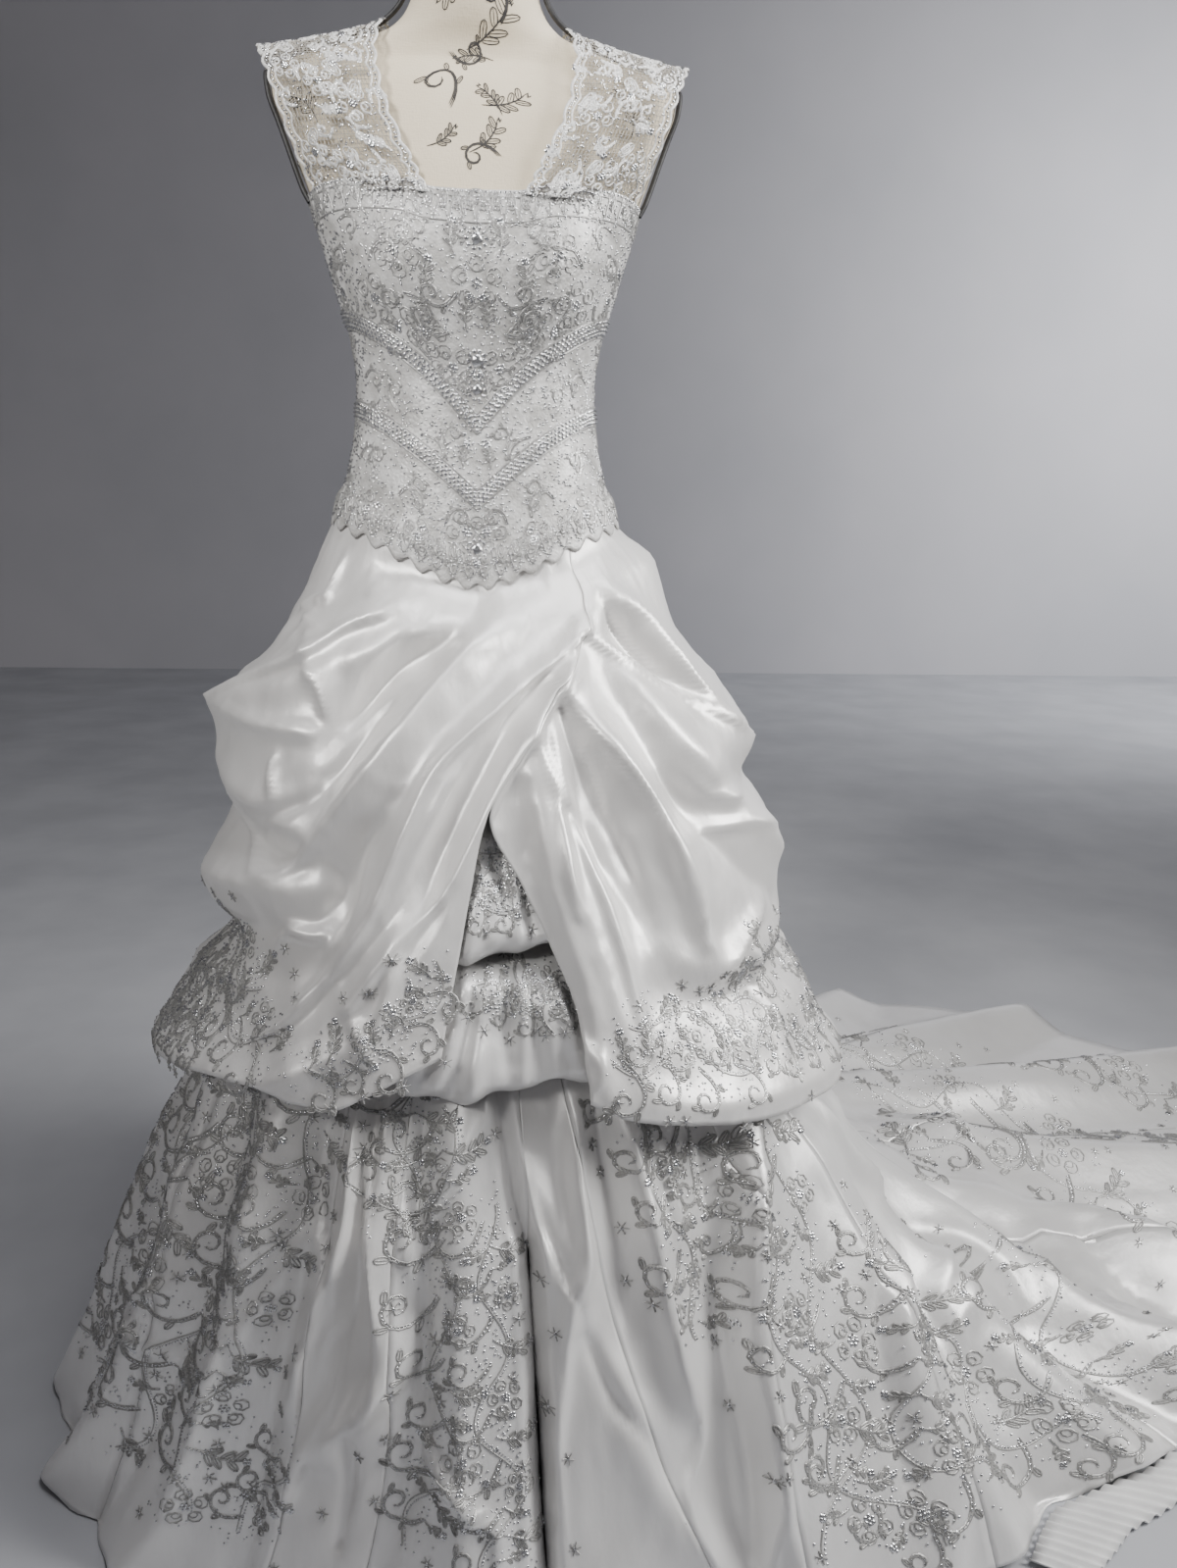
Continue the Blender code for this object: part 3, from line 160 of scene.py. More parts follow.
# share of the way down, then height and share of the way out where the skirt stands,
# and the same two where it lies as a train
FALL = np.array((
    (0.60, 0.330, 0.00, 0.330, 0.000),
    (0.65, 0.285, 0.12, 0.235, 0.055),
    (0.70, 0.240, 0.26, 0.155, 0.120),
    (0.76, 0.185, 0.43, 0.095, 0.240),
    (0.83, 0.120, 0.60, 0.058, 0.420),
    (0.91, 0.055, 0.82, 0.030, 0.680),
    (1.00, 0.002, 1.00, 0.002, 1.000),
))

# ---------------------------------------------------------------- tables of folds
# Each fold runs down its path of (angle, height or share) stations. Its height and its widths
# to the left and right, as seen from outside, are in millimetres; a negative height is a
# trough. head and foot are the shares of its height that it keeps at its two ends.
Fold = namedtuple("Fold", "height left right head foot path")

LEFT_SWAG_FOLDS = (
    Fold(13, 20, 22, 0.3, 0.5, ((38, 0.925), (-8, 0.896), (-33, 0.872), (-50, 0.842), (-75, 0.846))),
    Fold(18, 30, 26, 0.3, 0.8, ((42, 0.905), (11, 0.888), (-29, 0.842), (-54, 0.808), (-82, 0.779))),
    Fold(-18, 14, 26, 0.2, 0.2, ((6, 0.868), (-18, 0.835), (-30, 0.805), (-36, 0.772), (-36, 0.735))),
    Fold(16, 12, 34, 0.4, 0.3, ((30, 0.895), (13, 0.884), (-11, 0.815), (-21, 0.759), (-31, 0.702), (-36, 0.679))),
    Fold(20, 26, 22, 0.5, 0.5, (
        (45, 0.880), (16, 0.807), (-2, 0.744), (-12, 0.680), (-16, 0.608), (-22, 0.557), (-32, 0.509))),
    Fold(-13, 16, 12, 0.3, 0.2, ((33, 0.856), (8, 0.776), (-4, 0.705), (-10, 0.648), (-13, 0.600))),
    Fold(9, 12, 14, 0.6, 0.4, (
        (30, 0.835), (15, 0.785), (4, 0.730), (-2, 0.665), (-8, 0.605), (-15, 0.555), (-20, 0.505))),
    Fold(-18, 20, 16, 0.2, 0.3, ((-20, 0.715), (-26, 0.670), (-28, 0.629), (-31, 0.580))),
    Fold(12, 20, 20, 0.3, 0.3, ((-34, 0.676), (-45, 0.690), (-63, 0.708), (-85, 0.735))),
    Fold(-10, 16, 16, 0.3, 0.3, ((-36, 0.655), (-50, 0.658), (-70, 0.668), (-90, 0.675))),
    Fold(10, 16, 18, 0.3, 0.6, ((-34, 0.640), (-48, 0.634), (-66, 0.622), (-90, 0.605))),
    Fold(-10, 16, 16, 0.3, 0.5, ((-34, 0.600), (-50, 0.590), (-70, 0.570), (-92, 0.556))),
    Fold(12, 22, 22, 0.3, 0.6, ((-36, 0.545), (-55, 0.540), (-75, 0.520), (-94, 0.500))),
    Fold(12, 18, 20, 0.5, 0.5, ((-18, 0.545), (-24, 0.512), (-37, 0.482), (-55, 0.472), (-80, 0.450))),
)
RIGHT_SWAG_FOLDS = (
    Fold(14, 16, 26, 0.4, 0.5, ((46, 0.905), (58, 0.860), (66, 0.800), (74, 0.745))),
    Fold(-16, 16, 16, 0.3, 0.3, ((44, 0.875), (52, 0.832), (60, 0.806), (74, 0.775))),
    Fold(15, 18, 28, 0.4, 0.6, ((42, 0.856), (46, 0.788), (57, 0.717), (72, 0.655), (88, 0.610))),
    Fold(-9, 16, 16, 0.3, 0.4, ((38, 0.835), (42, 0.770), (50, 0.690), (62, 0.625), (74, 0.585))),
    Fold(15, 18, 22, 0.5, 0.3, ((26, 0.822), (34, 0.740), (43, 0.650), (46, 0.575))),
    Fold(-10, 16, 18, 0.3, 0.3, ((20, 0.790), (24, 0.710), (31, 0.630), (37, 0.560))),
    Fold(13, 16, 20, 0.6, 0.5, ((15, 0.770), (17, 0.690), (22, 0.610), (25, 0.540), (27, 0.480))),
    Fold(10, 8, 14, 0.7, 0.6, ((12, 0.740), (15, 0.649), (20, 0.557), (21, 0.480))),
    Fold(14, 20, 24, 0.4, 0.6, ((36, 0.585), (46, 0.560), (62, 0.556), (80, 0.566))),
    Fold(-12, 18, 18, 0.3, 0.5, ((40, 0.535), (55, 0.525), (75, 0.528), (92, 0.540))),
    Fold(10, 20, 20, 0.4, 0.6, ((24, 0.470), (40, 0.452), (60, 0.436), (84, 0.420))),
)
SKIRT_FOLDS = (
    Fold(-22, 14, 13, 0.7, 1.0, ((4, 0.455), (7, 0.554), (9, 0.616), (9, 0.704), (9, 0.824), (9, 1.0))),
    Fold(15, 14, 16, 0.8, 0.3, ((5, 0.480), (12, 0.592), (16, 0.659))),
    Fold(14, 12, 13, 0.8, 0.4, ((20, 0.460), (18, 0.611), (16, 0.662))),
    Fold(16, 26, 15, 0.3, 1.0, ((17, 0.665), (22, 0.739), (27, 0.851), (31, 0.906), (34, 1.0))),
    Fold(-13, 12, 12, 0.8, 0.2, ((24, 0.460), (24, 0.580), (24, 0.700))),
    Fold(15, 14, 16, 0.8, 0.2, ((29, 0.460), (30, 0.643), (30, 0.724), (31, 0.790))),
    Fold(-22, 28, 12, 0.7, 0.8, ((48, 0.480), (42, 0.600), (37, 0.720), (34, 0.860), (33, 1.0))),
    Fold(20, 12, 46, 0.7, 0.8, ((55, 0.480), (48, 0.600), (42, 0.720), (39, 0.860), (38, 1.0))),
    Fold(12, 26, 26, 0.6, 1.0, ((66, 0.500), (62, 0.700), (56, 0.850), (52, 1.0))),
    Fold(17, 12, 12, 0.8, 0.5, ((-24, 0.460), (-22, 0.578), (-26, 0.669), (-30, 0.760))),
    Fold(-9, 9, 9, 0.8, 0.3, ((-21, 0.470), (-20, 0.600), (-21, 0.720))),
    Fold(17, 11, 15, 0.8, 0.8, ((-18, 0.460), (-17, 0.591), (-14, 0.690), (-16, 0.740), (-23, 0.790))),
    Fold(-14, 14, 12, 0.8, 0.6, ((-11, 0.460), (-10, 0.620), (-8, 0.730), (-12, 0.860), (-18, 1.0))),
    Fold(15, 24, 26, 0.7, 1.0, ((-3, 0.460), (-3, 0.650), (-2, 0.800), (0, 1.0))),
    Fold(-16, 16, 16, 0.7, 1.0, ((-31, 0.460), (-31, 0.626), (-34, 0.775), (-36, 1.0))),
    Fold(20, 24, 24, 0.7, 1.0, ((-42, 0.460), (-40, 0.643), (-44, 0.826), (-50, 1.0))),
    Fold(-15, 16, 18, 0.6, 1.0, ((-53, 0.460), (-49, 0.650), (-54, 0.830), (-60, 1.0))),
    Fold(20, 24, 24, 0.6, 1.0, ((-66, 0.460), (-58, 0.672), (-62, 0.823), (-70, 1.0))),
    Fold(-14, 18, 18, 0.6, 1.0, ((-76, 0.460), (-70, 0.700), (-73, 0.850), (-78, 1.0))),
    Fold(18, 26, 26, 0.6, 1.0, ((-90, 0.460), (-84, 0.700), (-84, 0.850), (-88, 1.0))),
)
TRAIN_FOLDS = (
    Fold(24, 34, 34, 0.5, 1.0, ((70, 0.600), (64, 0.740), (60, 0.880), (58, 1.0))),
    Fold(-18, 30, 30, 0.4, 1.0, ((76, 0.620), (70, 0.760), (66, 0.900), (65, 1.0))),
    Fold(30, 40, 44, 0.5, 1.0, ((84, 0.600), (76, 0.740), (73, 0.880), (72, 1.0))),
    Fold(-26, 34, 34, 0.4, 0.7, ((92, 0.640), (84, 0.760), (79, 0.880), (77, 1.0))),
    Fold(34, 44, 50, 0.5, 0.9, ((104, 0.660), (92, 0.750), (84, 0.860), (81, 1.0))),
    Fold(-28, 44, 38, 0.4, 0.7, ((106, 0.720), (98, 0.765), (88, 0.830), (86, 1.0))),
    Fold(32, 50, 44, 0.4, 0.9, ((110, 0.740), (103, 0.790), (94, 0.850), (91, 1.0))),
    Fold(-26, 40, 50, 0.3, 0.7, ((122, 0.760), (110, 0.765), (101, 0.810), (97, 0.900), (96, 1.0))),
    Fold(36, 60, 60, 0.4, 0.9, ((122, 0.740), (113, 0.800), (106, 0.870), (103, 1.0))),
    Fold(-22, 50, 50, 0.3, 0.8, ((124, 0.800), (116, 0.860), (110, 1.0))),
    Fold(40, 56, 60, 0.4, 1.0, ((134, 0.740), (127, 0.840), (120, 0.920), (117, 1.0))),
    Fold(-24, 50, 50, 0.3, 0.8, ((134, 0.820), (127, 0.900), (123, 1.0))),
    Fold(40, 50, 50, 0.4, 1.0, ((144, 0.740), (137, 0.840), (132, 0.930), (129, 1.0))),
    Fold(-20, 44, 44, 0.3, 0.8, ((146, 0.800), (140, 0.900), (136, 1.0))),
    Fold(34, 44, 44, 0.5, 1.0, ((154, 0.660), (150, 0.800), (146, 0.900), (143, 1.0))),
    Fold(-18, 34, 34, 0.4, 0.9, ((160, 0.640), (156, 0.800), (152, 1.0))),
    Fold(28, 34, 34, 0.5, 1.0, ((168, 0.560), (165, 0.760), (162, 1.0))),
)
# The back and the hidden side hang in like folds: angle, height, width, turn towards the hem.
BACK_FOLDS = (
    (178, 22, 26, -3), (190, -14, 20, -2), (201, 20, 25, -1), (213, -15, 20, 0), (224, 22, 27, 1),
    (236, -13, 20, 2), (247, 19, 24, 3), (258, -12, 19, 3),
)
# The back of the overskirt is draped from both side seams: height of the drape at the centre
# back and at the seams, fold height, fold width.
BACK_DRAPES = (
    (0.860, 0.905, 10, 18), (0.800, 0.860, 13, 22), (0.735, 0.800, 15, 24), (0.665, 0.735, 15, 24),
    (0.590, 0.665, 14, 24), (0.520, 0.590, 13, 22), (0.455, 0.500, 11, 20),
)

# ---------------------------------------------------------------- tables of cut edges
# share down, angle, height: the left swag's leading edge, from the pick-up to its hem
LEAD = np.array((
    (0.00, 46.0, 0.943), (0.03, 45.0, 0.927), (0.14, 36, 0.855), (0.26, 20, 0.804),
    (0.37, 10, 0.753), (0.48, 2, 0.705), (0.62, -1, 0.650), (0.74, -3, 0.600),
    (0.88, -5, 0.550), (1.00, -6, 0.512),
))
# the right swag's front edge: along the same line to the top of the gap, then away from it
RIGHT_LEAD = np.concatenate([LEAD[:5], (
    (0.48, 2.6, 0.705), (0.62, 9, 0.650), (0.74, 14, 0.600), (0.88, 18, 0.535), (1.00, 18, 0.472),
)])
# angle, height: the swags' hems
LEFT_HEM = np.array((
    (-95, 0.420), (-75, 0.440), (-60, 0.458), (-45, 0.474), (-37, 0.476), (-30, 0.469),
    (-24, 0.467), (-18, 0.480), (-12, 0.497), (-6, 0.512),
))
RIGHT_HEM = np.array((
    (18, 0.472), (24, 0.456), (33, 0.443), (48, 0.426), (60, 0.418), (74, 0.404), (95, 0.395),
))
BACK_HEM = np.array(((95, 0.395), (120, 0.415), (150, 0.385), (180, 0.405), (210, 0.385), (240, 0.420), (265, 0.420)))
# name of each gore and the seam on its left: angles at the hip, knee, shin and hem
LEFT_SEAMS = (
    ("skirt_front", (-10, -14, -13, -18)),
    ("godet_front", (6, 9, 9, 9)),
    ("skirt_front_right", (12, 20, 23, 33)),
    ("skirt_side_right", (36, 48, 42, 38)),
    ("train_near", (64, 64, 62, 56)),
    ("train_near_middle", (88, 86, 80, 75)),
    ("train_middle", (106, 104, 98, 91)),
    ("train_far", (124, 122, 117, 110)),
    ("train_back", (144, 142, 138, 132)),
    ("skirt_back", (166, 166, 165, 162)),
    ("skirt_back_left", (196, 196, 196, 196)),
    ("skirt_side_left", (230, 230, 230, 230)),
    ("skirt_left", (262, 262, 262, 264)),
    ("skirt_front_left", (294, 302, 304, 300)),
    ("godet_left", (332, 334, 333, 328)),
    ("skirt_front", (350, 346, 347, 342)),
)
SHIN_AT = 0.72  # share of the way down where the seams have their third station
LEAST_HIP, BODICE_RADIUS, BACK_RADIUS = 0.12, 0.13, 0.09  # radii at which the seam gaps are measured
# height and depth in front of the two puffs in the gap between the swags
UPPER_PUFF = np.array((
    (0.585, 0.232), (0.592, 0.239), (0.604, 0.243), (0.622, 0.240), (0.650, 0.222), (0.680, 0.207), (0.720, 0.196),
))
LOWER_PUFF = np.array((
    (0.468, 0.258), (0.474, 0.267), (0.486, 0.272), (0.505, 0.270), (0.530, 0.261), (0.560, 0.246), (0.590, 0.224),
))
PUFF_TABLES = {"pickup_upper": UPPER_PUFF, "pickup_lower": LOWER_PUFF}
PUFF_ANGLES = (-15, 27)
PUFF_RIPPLE = 0.004  # height of the small gathers
PUFF_RIPPLES = 26  # gathers in a full turn
PUFF_ROOM = 0.004  # space kept inside the swags
PUFF_SEAT = 0.0008  # space kept off the underskirt at the sewn top edge
STRAIGHT_RUN = (0.085, 0.44)  # the two rows of the underskirt that the puffs are sewn between
LINING_ANGLES = (58, 75)
LINING_PLEATS = 35
LINING_REACH = 0.070  # how far the pleated lining shows beyond the hem
BODICE_SIDE = 84.0  # angle of the bodice's side seams
# Strap sections from the front root over the shoulder to the back root: inner edge, middle and
# outer edge, each as (x, y, z)
STRAP = np.array((
    ((0.046, -0.098, 1.2345), (0.098, -0.083, 1.2378), (0.148, -0.034, 1.2378)),
    ((0.055, -0.096, 1.2520), (0.108, -0.079, 1.2580), (0.158, -0.040, 1.2600)),
    ((0.071, -0.086, 1.2850), (0.120, -0.073, 1.2880), (0.170, -0.044, 1.2900)),
    ((0.081, -0.072, 1.3180), (0.130, -0.063, 1.3200), (0.180, -0.040, 1.3200)),
    ((0.085, -0.055, 1.3470), (0.136, -0.047, 1.3440), (0.188, -0.031, 1.3410)),
    ((0.081, -0.034, 1.3730), (0.136, -0.026, 1.3610), (0.193, -0.018, 1.3530)),
    ((0.077, 0.000, 1.3840), (0.136, 0.003, 1.3660), (0.195, 0.004, 1.3570)),
    ((0.081, 0.040, 1.3730), (0.136, 0.036, 1.3610), (0.192, 0.028, 1.3530)),
    ((0.086, 0.066, 1.3470), (0.136, 0.064, 1.3400), (0.186, 0.046, 1.3350)),
    ((0.088, 0.084, 1.3100), (0.134, 0.079, 1.3050), (0.176, 0.056, 1.3000)),
    ((0.086, 0.092, 1.2650), (0.126, 0.084, 1.2600), (0.162, 0.056, 1.2580)),
    ((0.080, 0.0945, 1.2115), (0.116, 0.0800, 1.2170), (0.1450, 0.0330, 1.2250)),
))


# ---------------------------------------------------------------- curves and surfaces
def through(x, xs, ys):
    """Smooth curve through a table's rows that never overshoots them."""
    x, xs, ys = (np.asarray(values, float) for values in (x, xs, ys))
    step = np.diff(xs)
    slope = np.diff(ys) / step
    tangent = np.zeros(len(xs))
    same = slope[:-1] * slope[1:] > 0
    tangent[1:-1][same] = 2 * (slope[:-1] * slope[1:])[same] / (slope[:-1] + slope[1:])[same]
    tangent[0], tangent[-1] = slope[0], slope[-1]
    i = np.clip(np.searchsorted(xs, x, side="right") - 1, 0, len(xs) - 2)
    t = np.clip((x - xs[i]) / step[i], 0, 1)
    ends = (2 * t**3 - 3 * t**2 + 1) * ys[i] + (3 * t**2 - 2 * t**3) * ys[i + 1]
    return ends + ((t**3 - 2 * t**2 + t) * tangent[i] + (t**3 - t**2) * tangent[i + 1]) * step[i]


def ease(x):
    x = np.clip(x, 0, 1)
    return x * x * (3 - 2 * x)


def ring(angle, width, front, back, power):
    """Distance from the axis of a rounded section, at an angle from the front."""
    ahead = np.cos(angle)
    depth = np.where(ahead > 0, front, back)
    return (np.abs(np.sin(angle) / width) ** power + np.abs(ahead / depth) ** power) ** (-1 / power)


def at(angle, radius, height):
    return np.stack([radius * np.sin(angle), -radius * np.cos(angle), height], -1)


def turned(angle):
    """Degrees either side of the front, 0 to 180."""
    return np.degrees(np.abs((angle + np.pi) % (2 * np.pi) - np.pi))


def form_radius(angle, height):
    width, front, back, power = (through(height, FORM[:, 0], FORM[:, k]) for k in (1, 2, 3, 4))
    radius = ring(angle, width, front, back, power)
    for side in (-BUST_ANGLE, BUST_ANGLE):
        bust = ((angle - radians(side)) / radians(BUST[3])) ** 2 + ((height - BUST[1]) / BUST[2]) ** 2
        radius = radius + BUST[0] * np.exp(-bust)
    return radius


def neckline(angle):
    return through(turned(angle), NECKLINE[:, 0], NECKLINE[:, 1])


def basque(angle):
    return through(turned(angle), BASQUE[:, 0], BASQUE[:, 1])


def skirt_radius(angle, height, table, face):
    """Lies flat on the form under the bodice, then swings out to the table's sections."""
    lying = form_radius(angle, np.maximum(height, FORM_BOTTOM)) + face
    side = np.where(
        np.sin(angle) < 0,
        through(height, table[:, 0], table[:, 1]),
        through(height, table[:, 0], table[:, 2]),
    )
    front, back = (through(height, table[:, 0], table[:, k]) for k in (3, 4))
    free = ease((basque(angle) - 0.002 - height) / 0.035)
    return lying + free * np.maximum(0, ring(angle, side, front, back, 2.15) - lying)


def over_base(angle, height):
    angle, height = np.broadcast_arrays(angle, height)
    return at(angle, skirt_radius(angle, height, OVERSKIRT, OVER_FACE), height)


def hem_radius(angle):
    return through(np.degrees(angle) % 360, HEM[:, 0], HEM[:, 1])


def under_base(angle, down):
    """The underskirt without its folds: from the hip (0) past the knee row to the hem (1)."""
    angle, down = np.broadcast_arrays(np.asarray(angle, float), np.asarray(down, float))
    top = basque(angle) + TUCK
    upper = top + (KNEE - top) * np.minimum(down, KNEE_AT) / KNEE_AT
    radius = skirt_radius(angle, upper, UNDERSKIRT, UNDER_FACE)
    lower = np.clip(down, KNEE_AT, 1)
    stand_z, stand_out, lie_z, lie_out = (through(lower, FALL[:, 0], FALL[:, k]) for k in (1, 2, 3, 4))
    train = ease((hem_radius(angle) - 0.50) / 0.60)
    height = np.where(down < KNEE_AT, upper, stand_z + (lie_z - stand_z) * train)
    out = np.where(down < KNEE_AT, 0, stand_out + (lie_out - stand_out) * train)
    return at(angle, radius + (hem_radius(angle) - radius) * out, height)


def normal_of(surface, angle, down, drop, turn=radians(2)):
    """Outward normal, from points a little to each side and a drop above and below."""
    across = surface(angle + turn, down) - surface(angle - turn, down)
    along = surface(angle, down + drop) - surface(angle, down - drop)
    normal = np.cross(along, across)
    return normal / np.linalg.norm(normal, axis=-1, keepdims=True)


def fold_height(points, normals, folds, place):
    """How far the folds lift each point of a base surface."""
    flat, facing = points.reshape(-1, 3), normals.reshape(-1, 3)
    lift = np.zeros(len(flat))
    for fold in folds:
        stations = np.array(fold.path, float)
        steps = np.linspace(0, len(stations) - 1, 4 * len(stations))
        known = np.arange(len(stations))
        angle = radians(1) * through(steps, known, stations[:, 0])
        line = place(angle, through(steps, known, stations[:, 1]))
        reach = 3.2 * max(fold.left, fold.right) / 1000
        rows = np.flatnonzero(((flat > line.min(0) - reach) & (flat < line.max(0) + reach)).all(-1))
        if not len(rows):
            continue
        start, run = line[:-1], np.diff(line, axis=0)
        offset = flat[rows][:, None] - start
        share = np.clip((offset * run).sum(-1) / (run * run).sum(-1), 0, 1)
        gap = offset - share[..., None] * run
        distance = np.linalg.norm(gap, axis=-1)
        near = distance.argmin(axis=1)
        row = np.arange(len(rows))
        along = (near + share[row, near]) / len(run)
        side = (np.cross(run[near], gap[row, near]) * facing[rows]).sum(-1)
        width = np.where(side > 0, fold.right, fold.left) / 1000
        keep = fold.head + (1 - fold.head) * ease(along / 0.3)
        keep = keep * (fold.foot + (1 - fold.foot) * ease((1 - along) / 0.3))
        lift[rows] += fold.height / 1000 * keep * np.exp(-((distance[row, near] / width) ** 1.7))
    return lift.reshape(points.shape[:-1])


def back_folds():
    """The folds of the hidden sides, hip to hem."""
    return tuple(
        Fold(height, width, width, 0.6, 1.0, ((angle, 0.45), (angle, 0.70), (angle + turn, 1.0)))
        for angle, height, width, turn in BACK_FOLDS
    )


def back_drapes():
    """Folds that sag from each side seam to the centre back."""
    drapes = []
    for middle, seam, height, width in BACK_DRAPES:
        sag = (seam - middle) * 0.75
        right = ((97, seam), (120, seam - sag), (150, middle + 0.01), (178, middle))
        left = tuple((360 - angle, z) for angle, z in reversed(right))
        drapes.append(Fold(height, width, width, 0.5, 0.8, right))
        drapes.append(Fold(height, width, width, 0.8, 0.5, left))
    return tuple(drapes)


OVER_FOLDS = LEFT_SWAG_FOLDS + RIGHT_SWAG_FOLDS + back_drapes()
UNDER_FOLDS = SKIRT_FOLDS + TRAIN_FOLDS + back_folds()


def over_surface(angle, height):
    """Outer face of the overskirt, folds and all."""
    angle, height = np.broadcast_arrays(np.asarray(angle, float), np.asarray(height, float))
    base = over_base(angle, height)
    outward = at(angle, 1.0, np.zeros_like(height))
    free = ease((basque(angle) - 0.004 - height) / 0.05)
    wrapped = np.where(angle < radians(-100), angle + 2 * np.pi, angle)
    lift = fold_height(over_base(wrapped, height), outward, OVER_FOLDS, over_base)
    return base + outward * (lift * free)[..., None]


def under_surface(angle, down):
    """Outer face of the underskirt and train, never below the floor."""
    angle, down = np.broadcast_arrays(np.asarray(angle, float), np.asarray(down, float))
    base = under_base(angle, down)
    normal = normal_of(under_base, angle, np.minimum(down, 0.99), 0.01)
    free = ease((down - 0.38) / 0.16)
    lift = fold_height(base, normal, UNDER_FOLDS, under_base)
    placed = base + normal * (lift * free)[..., None]
    placed[..., 2] = np.maximum(placed[..., 2], FLOOR_SKIN)
    return placed


# ---------------------------------------------------------------- straps, cut pieces, puffs and bodice
def strap_points(across, along):
    """Middle face of the right strap, from its sections."""
    known = np.arange(len(STRAP))
    places = []
    for axis in range(3):
        inner, middle, outer = (through(along, known, STRAP[:, k, axis]) for k in range(3))
        bow = 4 * across * (1 - across)
        places.append(inner + (outer - inner) * across + bow * (middle - (inner + outer) / 2))
    return np.stack(places, -1)


def patch(top, foot, left, right, columns, rows):
    """Angles and heights over a cut piece with four curved edges."""
    u = np.linspace(0, 1, columns + 1)[None, :]
    v = np.array(rows)[:, None]
    made = []
    for k in (0, 1):
        edges = (1 - v) * top(u)[k] + v * foot(u)[k] + (1 - u) * left(v)[k] + u * right(v)[k]
        low = (1 - u) * foot(0)[k] + u * foot(1)[k]
        high = (1 - u) * top(0)[k] + u * top(1)[k]
        made.append(edges - (1 - v) * high - v * low)
    return radians(1) * made[0], made[1]


def straight(start, end):
    return lambda share: (
        start[0] + (end[0] - start[0]) * share,
        start[1] + (end[1] - start[1]) * share,
    )


def tucked(start, end):
    """The top edge, under the bodice."""
    def edge(share):
        angle = start + (end - start) * np.asarray(share, float)
        return angle, basque(radians(1) * angle) + TUCK
    return edge


def tabled(table, shift=0.0):
    return lambda share: (
        through(share, table[:, 0], table[:, 1]) + shift,
        through(share, table[:, 0], table[:, 2]),
    )


def hem_along(table, start, end):
    def edge(share):
        angle = start + (end - start) * np.asarray(share, float)
        return angle, through(angle, table[:, 0], table[:, 1])
    return edge


def puff_surface(table):
    """A short picked-up puff that shows in the gap between the swags.

    Its top edge is sewn on the underskirt, whose wall runs straight between two of its rows.
    """
    def surface(angle, height):
        angle, height = np.broadcast_arrays(np.asarray(angle, float), np.asarray(height, float))
        depth = through(height, table[:, 0], table[:, 1])
        middle = ease((angle - radians(PUFF_ANGLES[0] + 2)) / 0.2) * ease((radians(PUFF_ANGLES[1] - 2) - angle) / 0.2)
        ripple = PUFF_RIPPLE * np.cos(angle * PUFF_RIPPLES) * middle
        radius = ring(angle, depth * 1.12, depth, depth, 2.1) + ripple
        cover = over_surface(angle, height)
        room = np.hypot(cover[..., 0], cover[..., 1]) - SATIN - PUFF_ROOM
        high, low = (under_surface(angle, np.full(angle.shape, down)) for down in STRAIGHT_RUN)
        share = (high[..., 2] - height) / (high[..., 2] - low[..., 2])
        wall_there = high + (low - high) * share[..., None]
        sewn = np.hypot(wall_there[..., 0], wall_there[..., 1]) + SATIN + PUFF_SEAT
        top = ease((height - table[-2, 0]) / (table[-1, 0] - table[-2, 0]))
        radius = np.minimum(radius, room)
        return at(angle, radius + (sewn - radius) * top, height)
    return surface


def bodice_face(angle, height):
    """Inner face of the bodice: close on the body, over the skirts' tops at its lower edge."""
    over_skirts = ease((basque(angle) + 0.034 - height) / 0.016)
    return form_radius(angle, height) + BODICE_EASE + (BASQUE_FACE - BODICE_EASE) * over_skirts


def seam_angle(seam, down):
    return through(down, (0, KNEE_AT, SHIN_AT, 1), seam)


